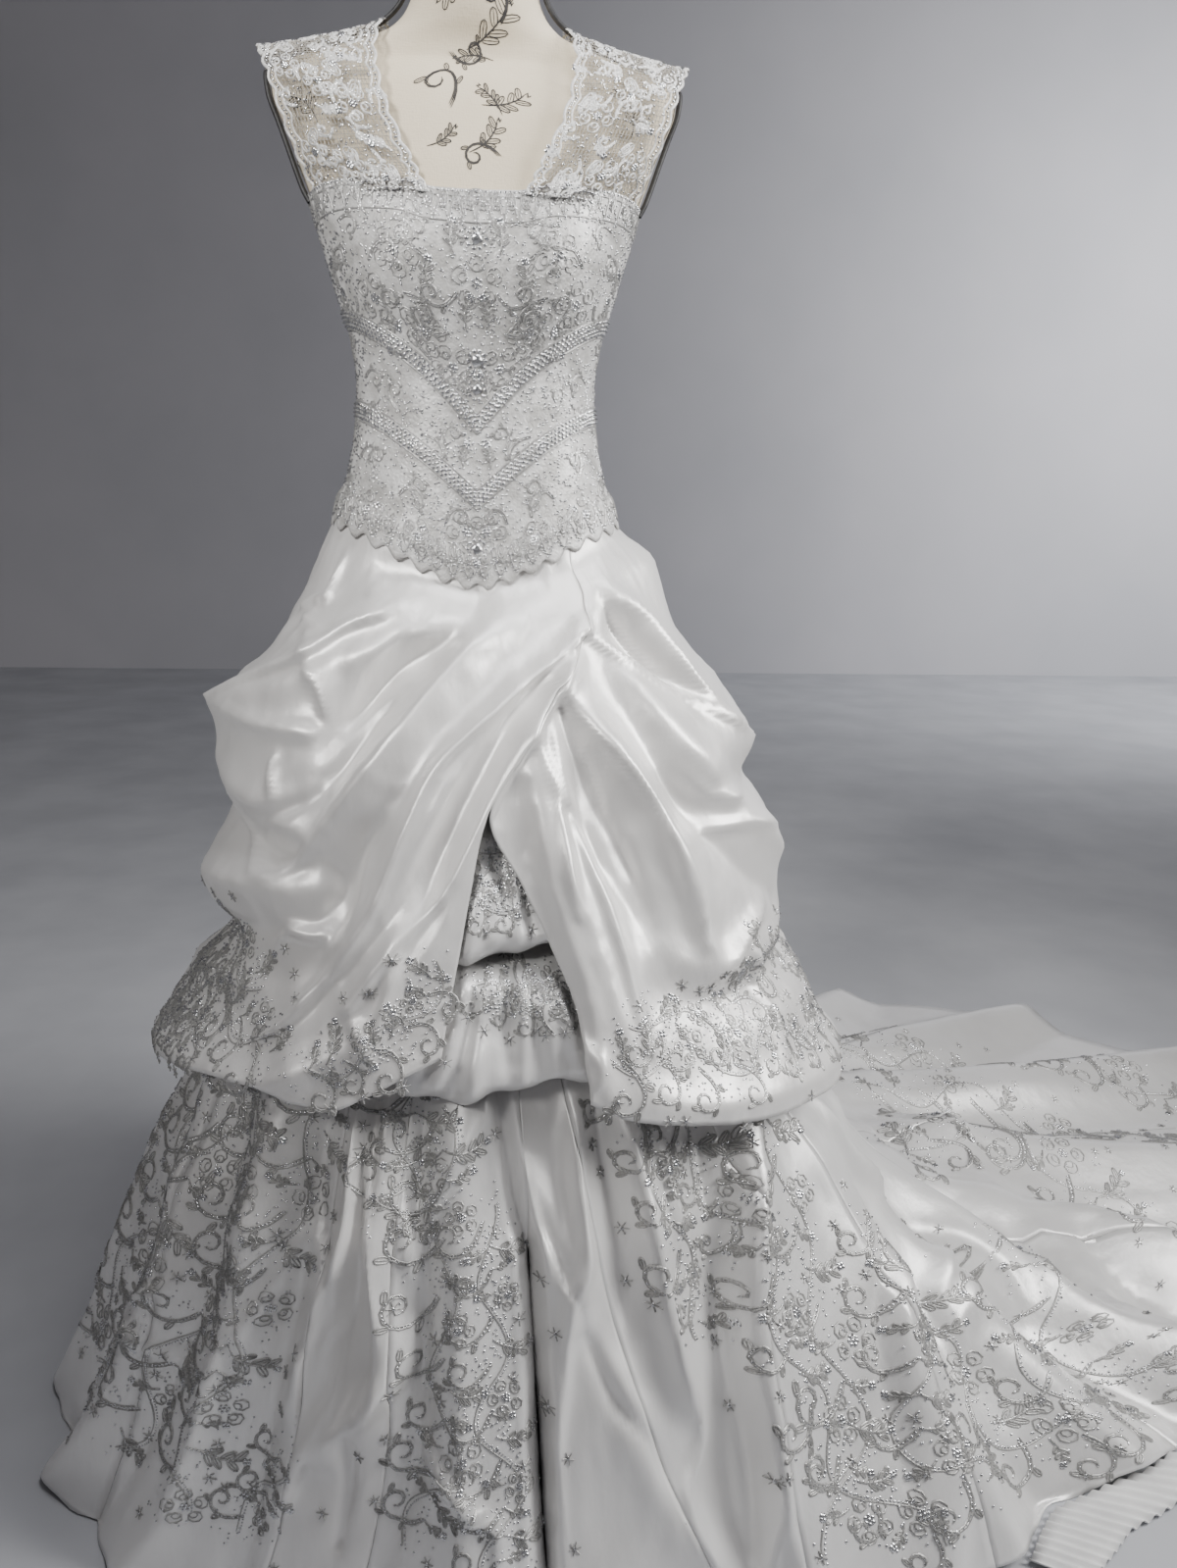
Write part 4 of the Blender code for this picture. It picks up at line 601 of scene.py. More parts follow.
# ---------------------------------------------------------------- small creases, looks only
# Same columns as the folds above. They are narrower than the solids' triangles. Most stations were
# picked by eye on the photograph and converted to angles, heights and shares outside this script.
SWAG_CREASES = (
    Fold(9, 5, 22, 0.6, 0.3, ((24, 0.902), (-6, 0.837), (-18, 0.784), (-26, 0.746), (-34, 0.692))),
    Fold(8, 9, 5, 0.7, 0.5, (
        (37, 0.859), (10, 0.806), (-9, 0.747), (-15, 0.691), (-20, 0.628), (-29, 0.562), (-40, 0.509))),
    Fold(-6, 6, 12, 0.6, 0.4, ((29, 0.841), (9, 0.789), (-4, 0.726), (-11, 0.67), (-17, 0.617), (-24, 0.57))),
    Fold(5, 9, 4, 0.7, 0.7, ((31, 0.845), (13, 0.771), (2, 0.709), (-6, 0.646), (-15, 0.6), (-22, 0.551))),
    Fold(9, 14, 5, 0.5, 0.6, ((12, 0.899), (-16, 0.883), (-40, 0.86), (-49, 0.833), (-65, 0.809), (-80, 0.782))),
    Fold(-6, 6, 14, 0.3, 0.3, ((-20, 0.861), (-28, 0.825), (-34, 0.789), (-38, 0.764))),
    Fold(-9, 10, 9, 0.3, 0.3, ((-22, 0.801), (-29, 0.773), (-33, 0.744), (-37, 0.716))),
    Fold(7, 5, 12, 0.3, 0.3, ((-49, 0.833), (-42, 0.801), (-38, 0.767))),
    Fold(6, 10, 5, 0.3, 0.3, ((-69, 0.776), (-56, 0.77), (-44, 0.769), (-38, 0.767))),
    Fold(5, 4, 6, 0.3, 0.4, ((-50, 0.75), (-50, 0.729), (-48, 0.707))),
    Fold(6, 6, 5, 0.3, 0.3, ((-68, 0.694), (-57, 0.661), (-48, 0.643), (-41, 0.652), (-33, 0.693))),
    Fold(-6, 8, 8, 0.3, 0.3, ((-58, 0.682), (-46, 0.696), (-38, 0.712))),
    Fold(7, 4, 10, 0.3, 0.3, ((-24, 0.668), (-24, 0.636), (-26, 0.607), (-30, 0.586))),
    Fold(-6, 7, 7, 0.3, 0.3, ((-33, 0.663), (-30, 0.636), (-33, 0.609))),
    Fold(5, 5, 5, 0.3, 0.3, ((-41, 0.606), (-34, 0.6), (-29, 0.602))),
    Fold(5, 4, 6, 0.3, 0.4, ((-44, 0.577), (-38, 0.597), (-30, 0.593))),
    Fold(7, 5, 5, 0.4, 0.4, ((-41, 0.505), (-34, 0.532), (-29, 0.569))),
    Fold(5, 4, 5, 0.2, 0.2, ((-62, 0.925), (-62, 0.9), (-60, 0.872))),
    Fold(4, 4, 4, 0.2, 0.2, ((-49, 0.912), (-44, 0.893), (-36, 0.875))),
    Fold(5, 5, 4, 0.2, 0.3, ((-72, 0.871), (-58, 0.853), (-47, 0.837))),
    Fold(5, 4, 5, 0.3, 0.3, ((-74, 0.866), (-68, 0.875), (-58, 0.881))),
    Fold(5, 5, 7, 0.3, 0.5, ((-22, 0.545), (-19, 0.524), (-18, 0.506))),
    Fold(5, 4, 6, 0.4, 0.5, ((-15, 0.593), (-16, 0.554), (-18, 0.518))),
    Fold(-9, 6, 9, 0.4, 0.3, ((46, 0.884), (53, 0.846), (57, 0.815), (59, 0.8))),
    Fold(7, 8, 5, 0.4, 0.4, ((49, 0.893), (60, 0.865), (63, 0.817), (70, 0.78))),
    Fold(7, 5, 5, 0.5, 0.4, ((36, 0.855), (48, 0.828), (63, 0.786), (78, 0.746))),
    Fold(8, 5, 14, 0.6, 0.4, ((23, 0.807), (30, 0.767), (39, 0.702), (41, 0.656), (44, 0.585))),
    Fold(-6, 10, 6, 0.5, 0.3, ((22, 0.792), (26, 0.746), (30, 0.694), (34, 0.645), (36, 0.599))),
    Fold(7, 6, 12, 0.6, 0.5, ((19, 0.795), (20, 0.747), (23, 0.674), (26, 0.625), (28, 0.566), (29, 0.51))),
    Fold(5, 4, 8, 0.6, 0.5, ((14, 0.768), (18, 0.719), (18, 0.669), (19, 0.626))),
    Fold(6, 5, 8, 0.3, 0.3, ((46, 0.742), (56, 0.704), (70, 0.701))),
    Fold(5, 5, 6, 0.3, 0.3, ((49, 0.677), (62, 0.677), (80, 0.657))),
    Fold(5, 5, 8, 0.3, 0.3, ((44, 0.623), (43, 0.594), (44, 0.569))),
    Fold(6, 5, 8, 0.3, 0.3, ((48, 0.557), (56, 0.578), (66, 0.595))),
    Fold(6, 6, 6, 0.3, 0.4, ((18, 0.522), (20, 0.502), (18, 0.478))),
    Fold(5, 5, 7, 0.3, 0.5, ((55, 0.572), (59, 0.529), (56, 0.467))),
    Fold(-5, 6, 6, 0.3, 0.3, ((18, 0.719), (24, 0.689), (29, 0.622))),
)
SKIRT_CREASES = (
    Fold(-9, 4, 4, 0.7, 1.0, ((4, 0.455), (7, 0.554), (9, 0.616), (9, 0.704), (9, 0.824), (9, 1.0))),
    Fold(5, 5, 5, 0.7, 1.0, ((1, 0.455), (4.5, 0.554), (6.5, 0.616), (6.8, 0.704), (6.8, 0.824), (6.8, 1.0))),
    Fold(5, 5, 5, 0.7, 1.0, ((7, 0.455), (9.5, 0.554), (11.5, 0.616), (11.5, 0.704), (11.3, 0.824), (11.2, 1.0))),
    Fold(8, 4, 9, 0.6, 0.4, ((-24, 0.487), (-23, 0.528), (-22, 0.58), (-26, 0.645), (-27, 0.681))),
    Fold(8, 5, 5, 0.6, 0.5, ((-22, 0.485), (-20, 0.542), (-18, 0.6), (-16, 0.654), (-15, 0.717))),
    Fold(-8, 5, 5, 0.6, 0.3, ((-23, 0.488), (-21, 0.543), (-20, 0.588))),
    Fold(9, 20, 5, 0.6, 0.5, (
        (3, 0.477), (-2, 0.509), (-8, 0.56), (-10, 0.599), (-10, 0.653), (-11, 0.695),
        (-15, 0.732), (-21, 0.764), (-26, 0.799), (-29, 0.849))),
    Fold(6, 8, 5, 0.4, 0.4, ((-14, 0.549), (-12, 0.584), (-10, 0.63))),
    Fold(8, 9, 6, 0.6, 0.5, ((20, 0.491), (18, 0.544), (18, 0.6), (15, 0.642), (13, 0.711), (11, 0.78))),
    Fold(-7, 6, 6, 0.4, 0.3, ((10, 0.551), (13, 0.597), (16, 0.649))),
    Fold(6, 9, 6, 0.4, 0.5, ((6, 0.51), (8, 0.576), (9, 0.657), (8, 0.743))),
    Fold(8, 5, 7, 0.4, 0.7, ((-10, 0.735), (-7, 0.778), (-1, 0.821), (3, 0.843), (3, 0.874))),
    Fold(-7, 8, 8, 0.4, 0.5, ((16, 0.657), (20, 0.734), (24, 0.773), (27, 0.843))),
    Fold(7, 5, 9, 0.4, 0.4, ((-39, 0.521), (-32, 0.561), (-31, 0.588), (-34, 0.64), (-38, 0.703), (-38, 0.759))),
    Fold(-7, 6, 6, 0.4, 0.3, ((-32, 0.552), (-27, 0.589), (-24, 0.628), (-28, 0.693))),
    Fold(8, 5, 8, 0.3, 0.5, ((-40, 0.689), (-42, 0.737), (-43, 0.794), (-45, 0.842), (-46, 0.879))),
    Fold(6, 5, 5, 0.3, 0.4, ((-53, 0.649), (-54, 0.687), (-62, 0.729), (-62, 0.747), (-55, 0.757), (-50, 0.762))),
    Fold(6, 4, 6, 0.3, 0.3, ((-30, 0.683), (-28, 0.709), (-29, 0.758))),
    Fold(7, 6, 9, 0.3, 0.5, ((-22, 0.687), (-22, 0.728), (-26, 0.783), (-29, 0.845))),
    Fold(6, 6, 6, 0.3, 0.6, ((-65, 0.762), (-67, 0.816), (-78, 0.949))),
    Fold(6, 5, 5, 0.3, 0.6, ((-87, 0.828), (-90, 0.901), (-90, 0.957))),
    Fold(-6, 6, 6, 0.4, 0.8, ((-19, 0.762), (-19, 0.808), (-20, 0.879))),
    Fold(8, 6, 9, 0.6, 0.7, (
        (28, 0.512), (29, 0.563), (29, 0.638), (30, 0.712), (32, 0.778), (28, 0.834), (30, 0.895))),
    Fold(6, 5, 7, 0.5, 0.3, ((35, 0.518), (35, 0.566), (34, 0.615))),
    Fold(-9, 8, 7, 0.6, 0.8, ((50, 0.539), (43, 0.623), (38, 0.724), (37, 0.813), (35, 0.905))),
    Fold(8, 5, 10, 0.6, 0.8, ((54, 0.542), (45, 0.627), (40, 0.729), (39, 0.836), (36, 0.907))),
    Fold(-6, 10, 10, 0.3, 0.5, ((65, 0.686), (60, 0.725), (56, 0.791), (53, 0.873))),
)
TRAIN_CREASES = (
    Fold(9, 8, 8, 0.5, 0.4, ((77, 0.576), (78, 0.623), (89, 0.693), (86, 0.709), (72, 0.753), (70, 0.809))),
    Fold(-9, 8, 10, 0.4, 0.2, ((121, 0.77), (110, 0.749), (105, 0.774))),
    Fold(8, 8, 8, 0.4, 0.4, ((125, 0.798), (116, 0.798), (110, 0.791), (104, 0.781))),
    Fold(-9, 7, 8, 0.3, 0.2, ((89, 0.706), (88, 0.735), (86, 0.762))),
    Fold(9, 7, 10, 0.4, 0.5, ((89, 0.697), (90, 0.728), (88, 0.761), (77, 0.85))),
    Fold(-10, 8, 10, 0.3, 0.2, ((102, 0.745), (95, 0.755), (89, 0.779))),
    Fold(9, 7, 9, 0.4, 0.3, ((103, 0.771), (96, 0.772), (88, 0.79))),
    Fold(9, 8, 12, 0.4, 0.5, ((102, 0.781), (94, 0.795), (88, 0.828), (84, 0.874))),
    Fold(-10, 8, 12, 0.3, 0.3, ((98, 0.803), (92, 0.826), (88, 0.857))),
    Fold(8, 8, 8, 0.4, 0.5, ((100, 0.8), (97, 0.828), (94, 0.853))),
    Fold(6, 12, 12, 0.4, 0.6, ((72, 0.692), (64, 0.721), (59, 0.778), (58, 0.856), (55, 0.932))),
    Fold(7, 9, 12, 0.4, 0.6, ((86, 0.721), (69, 0.799), (66, 0.881), (66, 0.964))),
    Fold(8, 12, 14, 0.3, 0.4, ((128, 0.780), (122, 0.850), (116, 0.930))),
    Fold(8, 12, 14, 0.3, 0.4, ((139, 0.780), (133, 0.860), (128, 0.940))),
    Fold(7, 12, 12, 0.3, 0.4, ((150, 0.740), (145, 0.840), (141, 0.940))),
    Fold(6, 10, 10, 0.4, 0.5, ((172, 0.560), (170, 0.760), (169, 0.960))),
    Fold(6, 10, 10, 0.4, 0.5, ((196, 0.560), (195, 0.760), (195, 0.960))),
    Fold(-6, 9, 9, 0.4, 0.5, ((218, 0.520), (218, 0.740), (219, 0.960))),
    Fold(6, 9, 9, 0.4, 0.5, ((241, 0.520), (242, 0.740), (244, 0.960))),
    Fold(5, 8, 8, 0.4, 0.5, ((253, 0.560), (254, 0.760), (257, 0.940))),
)
CREASE_HEIGHT, CREASE_WIDTH = 1.6, 1.6  # how much bolder the train's creases are than their table says
SWAG_HEIGHT, SKIRT_HEIGHT = 1.35, 1.3  # the same for the swags' and the skirt's creases


def bolder(folds, height, width=1.0):
    return tuple(fold._replace(
        height=fold.height * height, left=fold.left * width, right=fold.right * width,
    ) for fold in folds)


OVER_FOLDS = OVER_FOLDS + bolder(SWAG_CREASES, SWAG_HEIGHT)
UNDER_FOLDS = UNDER_FOLDS + bolder(SKIRT_CREASES, SKIRT_HEIGHT) + bolder(TRAIN_CREASES, CREASE_HEIGHT, CREASE_WIDTH)


# ---------------------------------------------------------------- meshes
def grid_faces(rows, columns, start=0, flip=False):
    """Quads over a grid of points."""
    index = start + np.arange(rows * columns).reshape(rows, columns)
    quads = np.stack([index[:-1, :-1], index[:-1, 1:], index[1:, 1:], index[1:, :-1]], -1).reshape(-1, 4)
    return quads if flip else quads[:, ::-1]


def grid_normals(points):
    """Unit normals of a grid of points, outward where its rows run down and its columns right."""
    along = np.gradient(points, axis=0)
    across = np.gradient(points, axis=1)
    normal = np.cross(along, across)
    return normal / np.maximum(np.linalg.norm(normal, axis=-1, keepdims=True), 1e-12)


def add_mesh(name, verts, faces, finish, uv=None):
    data = bpy.data.meshes.new(name)
    data.from_pydata(verts.tolist(), [], faces.tolist() if hasattr(faces, "tolist") else faces)
    if uv is not None:
        layer = data.uv_layers.new(name="UVMap")
        loops = np.zeros(len(data.loops), np.int32)
        data.loops.foreach_get("vertex_index", loops)
        layer.data.foreach_set("uv", uv[loops].astype(np.float32).ravel())
    data.shade_smooth()
    data.materials.append(finish)
    made = bpy.data.objects.new(name, data)
    bpy.context.scene.collection.objects.link(made)
    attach(made, "root")
    return made


def shell(name, points, finish, thickness=SHEET):
    """A thin double-faced sheet under a grid of outer points."""
    rows, columns = points.shape[:2]
    normal = grid_normals(points)
    inner = points - normal * thickness
    inner[..., 2] = np.maximum(inner[..., 2], 0.0003)
    verts = np.concatenate([points.reshape(-1, 3), inner.reshape(-1, 3)])
    half = rows * columns
    index = np.arange(half).reshape(rows, columns)
    faces = [grid_faces(rows, columns), grid_faces(rows, columns, half, flip=True)]
    for line in (index[0], index[-1][::-1], index[:, -1], index[:, 0][::-1]):
        faces.append(np.stack([line[:-1], line[1:], line[1:] + half, line[:-1] + half], -1))
    faces = np.concatenate(faces)
    across = np.linalg.norm(np.diff(points, axis=1), axis=-1).mean(0)
    down = np.linalg.norm(np.diff(points, axis=0), axis=-1).mean(1)
    u = np.concatenate([[0], np.cumsum(across)])
    v = np.concatenate([[0], np.cumsum(down)])
    uv = np.stack(np.broadcast_arrays(u[None, :], v[:, None]), -1).reshape(-1, 2)
    return add_mesh(name, verts, faces, finish, np.concatenate([uv, uv]))


def cloth(name, look, points, finish, thickness=SHEET):
    """The shell of one cut piece, in place of its solid, with its flat cut."""
    made = shell(f"{name}_{look}", points, finish, thickness)
    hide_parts(name)


CELLS = 24  # the pattern of wrinkles repeats after so many cells


def wrinkled(points, size, height, stretch):
    """Adds small uneven wrinkles along the grid's normals.

    They depend on the place alone, so pieces and the work laid on them agree.
    """
    table = np.random.default_rng(3).random((CELLS, CELLS, CELLS)) * 2 - 1
    lift = np.zeros(points.shape[:2])
    for octave in range(3):
        place = points / (size / 1.9**octave * np.array(stretch)) + 11.3 * octave
        place = place + 0.35 * np.sin(np.roll(place, 1, -1) * 1.7)
        low = np.floor(place).astype(int)
        share = ease(place - low)
        value = 0
        for corner in np.ndindex(2, 2, 2):
            weight = np.where(np.array(corner), share, 1 - share).prod(-1)
            i, j, k = np.moveaxis((low + corner) % CELLS, -1, 0)
            value = value + weight * table[i, j, k]
        lift += (0.3 - np.abs(value)) * 0.6**octave
    return points + grid_normals(points) * (lift * height)[..., None]


CRUMPLE = (0.050, 0.0022, (1.0, 1.0, 1.6))  # wrinkles of the satin pieces: size, height, stretch


# ---------------------------------------------------------------- materials
class Nodes:
    """Short hand for a material's node tree."""

    def __init__(self, name):
        self.material = bpy.data.materials.new(name)
        self.material.use_nodes = True
        self.tree = self.material.node_tree
        self.shader = self.tree.nodes["Principled BSDF"]

    def add(self, kind, **values):
        node = self.tree.nodes.new(kind)
        for key, value in values.items():
            if hasattr(node, key):
                setattr(node, key, value)
            else:
                node.inputs[key.replace("_", " ")].default_value = value
        return node

    def link(self, output, target):
        self.tree.links.new(output, target)

    def place(self):
        return self.add("ShaderNodeTexCoord").outputs["Object"]

    def paint(self, value, *stops):
        self.link(self.ramp(value, *stops), self.shader.inputs["Base Color"])

    def relief(self, normal):
        self.link(normal, self.shader.inputs["Normal"])

    def set(self, **values):
        for key, value in values.items():
            self.shader.inputs[key.replace("_", " ")].default_value = value

    def noise(self, coords, scale, detail=3.0, rough=0.55, stretch=(1, 1, 1)):
        mapping = self.add("ShaderNodeMapping")
        mapping.inputs["Scale"].default_value = stretch
        self.link(coords, mapping.inputs["Vector"])
        noise = self.add("ShaderNodeTexNoise", Scale=scale, Detail=detail, Roughness=rough)
        self.link(mapping.outputs["Vector"], noise.inputs["Vector"])
        return noise.outputs["Fac"]

    def ramp(self, value, *stops):
        ramp = self.add("ShaderNodeValToRGB")
        for element, (place, colour) in zip(ramp.color_ramp.elements, (stops[0], stops[-1])):
            element.position, element.color = place, (*colour, 1)
        for place, colour in stops[1:-1]:
            ramp.color_ramp.elements.new(place).color = (*colour, 1)
        self.link(value, ramp.inputs["Fac"])
        return ramp.outputs["Color"]

    def range(self, value, low, high):
        node = self.add("ShaderNodeMapRange")
        node.inputs["To Min"].default_value, node.inputs["To Max"].default_value = low, high
        self.link(value, node.inputs["Value"])
        return node.outputs["Result"]

    def bump(self, value, strength, distance, before=None):
        node = self.add("ShaderNodeBump", Strength=strength, Distance=distance)
        self.link(value, node.inputs["Height"])
        if before is not None:
            self.link(before, node.inputs["Normal"])
        return node.outputs["Normal"]


def satin(name, light, dark, roughness=(0.32, 0.44)):
    """Lustrous satin: a smooth face with a fine thread and small crumples."""
    m = Nodes(name)
    place = m.add("ShaderNodeTexCoord")
    uv, solid = place.outputs["UV"], place.outputs["Object"]
    m.paint(m.noise(solid, 5.5, 4), (0.30, dark), (0.68, light))
    m.link(m.range(m.noise(solid, 34, 5, 0.6), *roughness), m.shader.inputs["Roughness"])
    soft = m.bump(m.noise(solid, 26, 4, 0.5, (1, 1, 0.45)), 0.45, 0.004)
    thread = m.add("ShaderNodeTexWave", Scale=520.0, Distortion=0.6, Detail=1.0)
    m.link(uv, thread.inputs["Vector"])
    m.relief(m.bump(thread.outputs["Fac"], 0.10, 0.0003, soft))
    m.set(Metallic=0.34, IOR=1.5, Anisotropic=0.4, Sheen_Weight=0.08, Sheen_Roughness=0.4)
    return m.material


def mottled(name, tones, spots, grain, strength, depth, **values):
    """Two tones in the spots of a noise, with a relief from a finer noise or, without one, from the spots."""
    m = Nodes(name)
    place = m.place()
    spots = m.noise(place, *spots)
    m.paint(spots, *tones)
    m.relief(m.bump(m.noise(place, *grain) if grain else spots, strength, depth))
    m.set(**values)
    return m.material


def thread_metal(name, colour, metallic, rough):
    """Fine thread or cut glass, with painted shade for its hollows in the spots of a fine noise."""
    # painted shade: the darker tone, 0.62 of the colour, stands for the shade in the hollows
    tones = ((0.35, tuple(0.62 * c for c in colour)), (0.65, colour))
    return mottled(name, tones, (420, 2), (900, 1), 0.5, 0.0004, Metallic=metallic, Roughness=rough)


def plain_material(name, dark, light, scale, rough, metallic=0.0):
    tones = ((0.35, dark), (0.65, light))
    return mottled(name, tones, (scale, 4), None, 0.12, 0.001, Roughness=rough, Metallic=metallic)


satin_plain = satin("satin_plain", (0.880, 0.872, 0.860), (0.790, 0.776, 0.764))
satin_over = satin("satin_over", (0.890, 0.880, 0.866), (0.800, 0.784, 0.770))
satin_gore = satin("satin_gore", (0.860, 0.855, 0.848), (0.760, 0.750, 0.742), (0.34, 0.46))
silver_cord = thread_metal("silver_cord", (0.50, 0.495, 0.485), 0.40, 0.38)
pale_cord = thread_metal("pale_cord", (0.72, 0.72, 0.71), 0.15, 0.45)
bead_glass = thread_metal("bead_glass", (0.80, 0.81, 0.83), 0.85, 0.14)


def silver_work(slot):
    """Finishes of the cords and beads that lie on a cloth, by kind."""
    return {"cord": (silver_cord, slot), "bead": (bead_glass, slot)}


# ---------------------------------------------------------------- embroidery
class Face:
    """A fine grid of a cloth's outer face that motifs are laid on.

    u runs across and v down; both are read between the grid's points.
    """

    def __init__(self, points, u_range, v_range):
        self.points = points
        self.normals = grid_normals(points)
        self.u, self.v = u_range, v_range

    def _read(self, table, u, v):
        rows, columns = table.shape[:2]
        x = np.clip((np.asarray(u) - self.u[0]) / (self.u[1] - self.u[0]), 0, 1) * (columns - 1)
        y = np.clip((np.asarray(v) - self.v[0]) / (self.v[1] - self.v[0]), 0, 1) * (rows - 1)
        i, j = np.minimum(x.astype(int), columns - 2), np.minimum(y.astype(int), rows - 2)
        fx, fy = (x - i)[..., None], (y - j)[..., None]
        top = table[j, i] * (1 - fx) + table[j, i + 1] * fx
        low = table[j + 1, i] * (1 - fx) + table[j + 1, i + 1] * fx
        return top * (1 - fy) + low * fy

    def place(self, u, v):
        return self._read(self.points, u, v), self._read(self.normals, u, v)

    def scale(self, u, v):
        """Metres for each unit of u and, downwards, of v."""
        du, dv = (self.u[1] - self.u[0]) * 0.012, (self.v[1] - self.v[0]) * 0.012
        u = np.clip(u, min(self.u) + abs(du), max(self.u) - abs(du))
        v = np.clip(v, min(self.v) + abs(dv), max(self.v) - abs(dv))
        a, b = self.place(u - du, v)[0], self.place(u + du, v)[0]
        c, d = self.place(u, v - dv)[0], self.place(u, v + dv)[0]
        return np.linalg.norm(b - a) / (2 * abs(du)), np.linalg.norm(d - c) / (2 * dv)

    def lay(self, u, v, turn, motif):
        """3-D strokes of a motif whose own x axis points turn radians up from the right."""
        per_u, per_v = self.scale(u, v)
        c, s = np.cos(turn), np.sin(turn)
        laid = []
        for kind, stroke, width in motif:
            x = stroke[:, 0] * c - stroke[:, 1] * s
            y = stroke[:, 0] * s + stroke[:, 1] * c
            laid.append((kind, *self.place(u + x / per_u, v - y / per_v), width))
        return laid


STRING_PITCH = 1.55  # distance between the beads of a string, in widths of a bead


def run_of(points):
    """Length of a line up to each of its points."""
    return np.concatenate([[0], np.cumsum(np.linalg.norm(np.diff(points, axis=0), axis=-1))])


class Threads:
    """Raised cords and beads, joined into one mesh for each finish."""

    def __init__(self, weight=1.0):
        self.verts, self.faces, self.count, self.weight = {}, {}, {}, weight

    def _add(self, finish, verts, faces):
        start = self.count.get(finish, 0)
        self.verts.setdefault(finish, []).append(verts)
        self.faces.setdefault(finish, []).append(faces + start)
        self.count[finish] = start + len(verts)

    def cord(self, finish, points, normals, width, height=None, lift=0.0003):
        if len(points) < 2:
            return
        height = width * 0.6 if height is None else height
        run = np.gradient(points, axis=0)
        side = np.cross(normals, run)
        side /= np.maximum(np.linalg.norm(side, axis=-1, keepdims=True), 1e-9)
        base = points + normals * lift
        taper = np.ones(len(points))
        taper[0] = taper[-1] = 0.45
        half = side * (width / 2) * taper[:, None]
        profile = np.stack([base - half, base + normals * height, base + half], 1)
        quads = grid_faces(len(points), 3)
        self._add(finish, profile.reshape(-1, 3), quads)

    def beads(self, finish, points, normals, size, lift=0.0004):
        """Small pointed stones with four facets."""
        any_way = np.cross(normals, np.array((0.31, 0.22, 0.93)))
        any_way /= np.maximum(np.linalg.norm(any_way, axis=-1, keepdims=True), 1e-9)
        other = np.cross(normals, any_way)
        turn = np.arange(4) * np.pi / 2
        rim = points[:, None] + normals[:, None] * lift + size * 0.56 * (
            any_way[:, None] * np.cos(turn)[None, :, None] + other[:, None] * np.sin(turn)[None, :, None]
        )
        top = points + normals * (lift + size * 0.62)
        verts = np.concatenate([rim, top[:, None]], 1)
        k = np.arange(4)
        one = np.stack([k, (k + 1) % 4, np.full(4, 4), np.full(4, 4)], -1)
        faces = (one[None] + 5 * np.arange(len(points))[:, None, None]).reshape(-1, 4)
        self._add(finish, verts.reshape(-1, 3), faces)

    def draw(self, laid):
        for kind, points, normals, width in laid:
            width = width * self.weight
            if kind == "bead":
                self.beads("bead", points, normals, width)
            elif kind == "string":
                length = run_of(points)
                count = max(2, int(length[-1] / (width * STRING_PITCH)))
                steps = np.linspace(0, length[-1], count)
                places = np.stack([np.interp(steps, length, points[:, k]) for k in range(3)], -1)
                facing = np.stack([np.interp(steps, length, normals[:, k]) for k in range(3)], -1)
                self.beads("bead", places, facing, width)
            else:
                self.cord("cord", points, normals, width)

    def make(self, name, finishes):
        """One object for each finish; the pieces made."""
        made = []
        for finish, verts in self.verts.items():
            faces = np.concatenate(self.faces[finish])
            data = [[f for i, f in enumerate(face) if i == 0 or f != face[i - 1]] for face in faces.tolist()]
            made.append(add_mesh(f"{name}_{finish}", np.concatenate(verts), data, finishes[finish][0]))
        return made


def curl(length, turns, hand=1.0, power=1.7, steps=None):
    """A stroke that sets off along x and winds up into a scroll."""
    steps = steps or int(6 + 9 * turns)
    t = np.linspace(0, 1, steps)
    heading = hand * 2 * np.pi * turns * t**power
    step = length / (steps - 1) * (1.25 - 0.62 * t)
    x = np.concatenate([[0], np.cumsum(np.cos(heading[1:]) * step[1:])])
    y = np.concatenate([[0], np.cumsum(np.sin(heading[1:]) * step[1:])])
    return np.stack([x, y], -1)


def moved(stroke, x=0.0, y=0.0, turn=0.0):
    c, s = np.cos(turn), np.sin(turn)
    return np.stack([stroke[:, 0] * c - stroke[:, 1] * s + x, stroke[:, 0] * s + stroke[:, 1] * c + y], -1)


def shifted(motif, x):
    return [(kind, moved(stroke, x), width) for kind, stroke, width in motif]


def leaf(length, fat, fill):
    """A pointed leaf: nested outlines and a midrib."""
    t = np.linspace(0, np.pi, 6)
    strokes = []
    for k in range(fill):
        f = 1 - 0.42 * k
        x = length * (0.5 - 0.5 * np.cos(t) * f)
        y = length * fat * f * np.sin(t) ** 0.8 * 0.5
        outline = np.concatenate([np.stack([x, y], -1), np.stack([x, -y], -1)[::-1]])
        strokes.append(("cord", outline, 0.0017))
    strokes.append(("cord", np.array(((0, 0), (length * 0.5, 0), (length * 0.95, 0))), 0.0014))
    return strokes


def flower(size):
    """Five round petals, each a double loop, about a bead cluster."""
    strokes = []
    t = np.linspace(-np.pi, np.pi, 8)
    for k in range(5):
        turn = 2 * np.pi * k / 5
        for f in (1.0, 0.55):
            x = size * (0.30 + 0.22 * f * (1 - np.cos(t)))
            y = size * 0.24 * f * np.sin(t)
            strokes.append(("cord", moved(np.stack([x, y], -1), turn=turn), 0.0016))
    around = np.linspace(0, 2 * np.pi, 6, endpoint=False)
    strokes.append(("bead", np.stack([np.cos(around), np.sin(around)], -1) * size * 0.13, 0.0032))
    strokes.append(("bead", np.zeros((1, 2)), 0.0042))
    return strokes


def star(size):
    """A little sequin star of six points."""
    strokes = []
    for k in range(6):
        turn = 2 * np.pi * k / 6
        strokes.append(("cord", moved(np.array(((0.2, 0), (1.0, 0))) * size * 0.5, turn=turn), 0.0020))
    strokes.append(("bead", np.zeros((1, 2)), 0.0036))
    return strokes


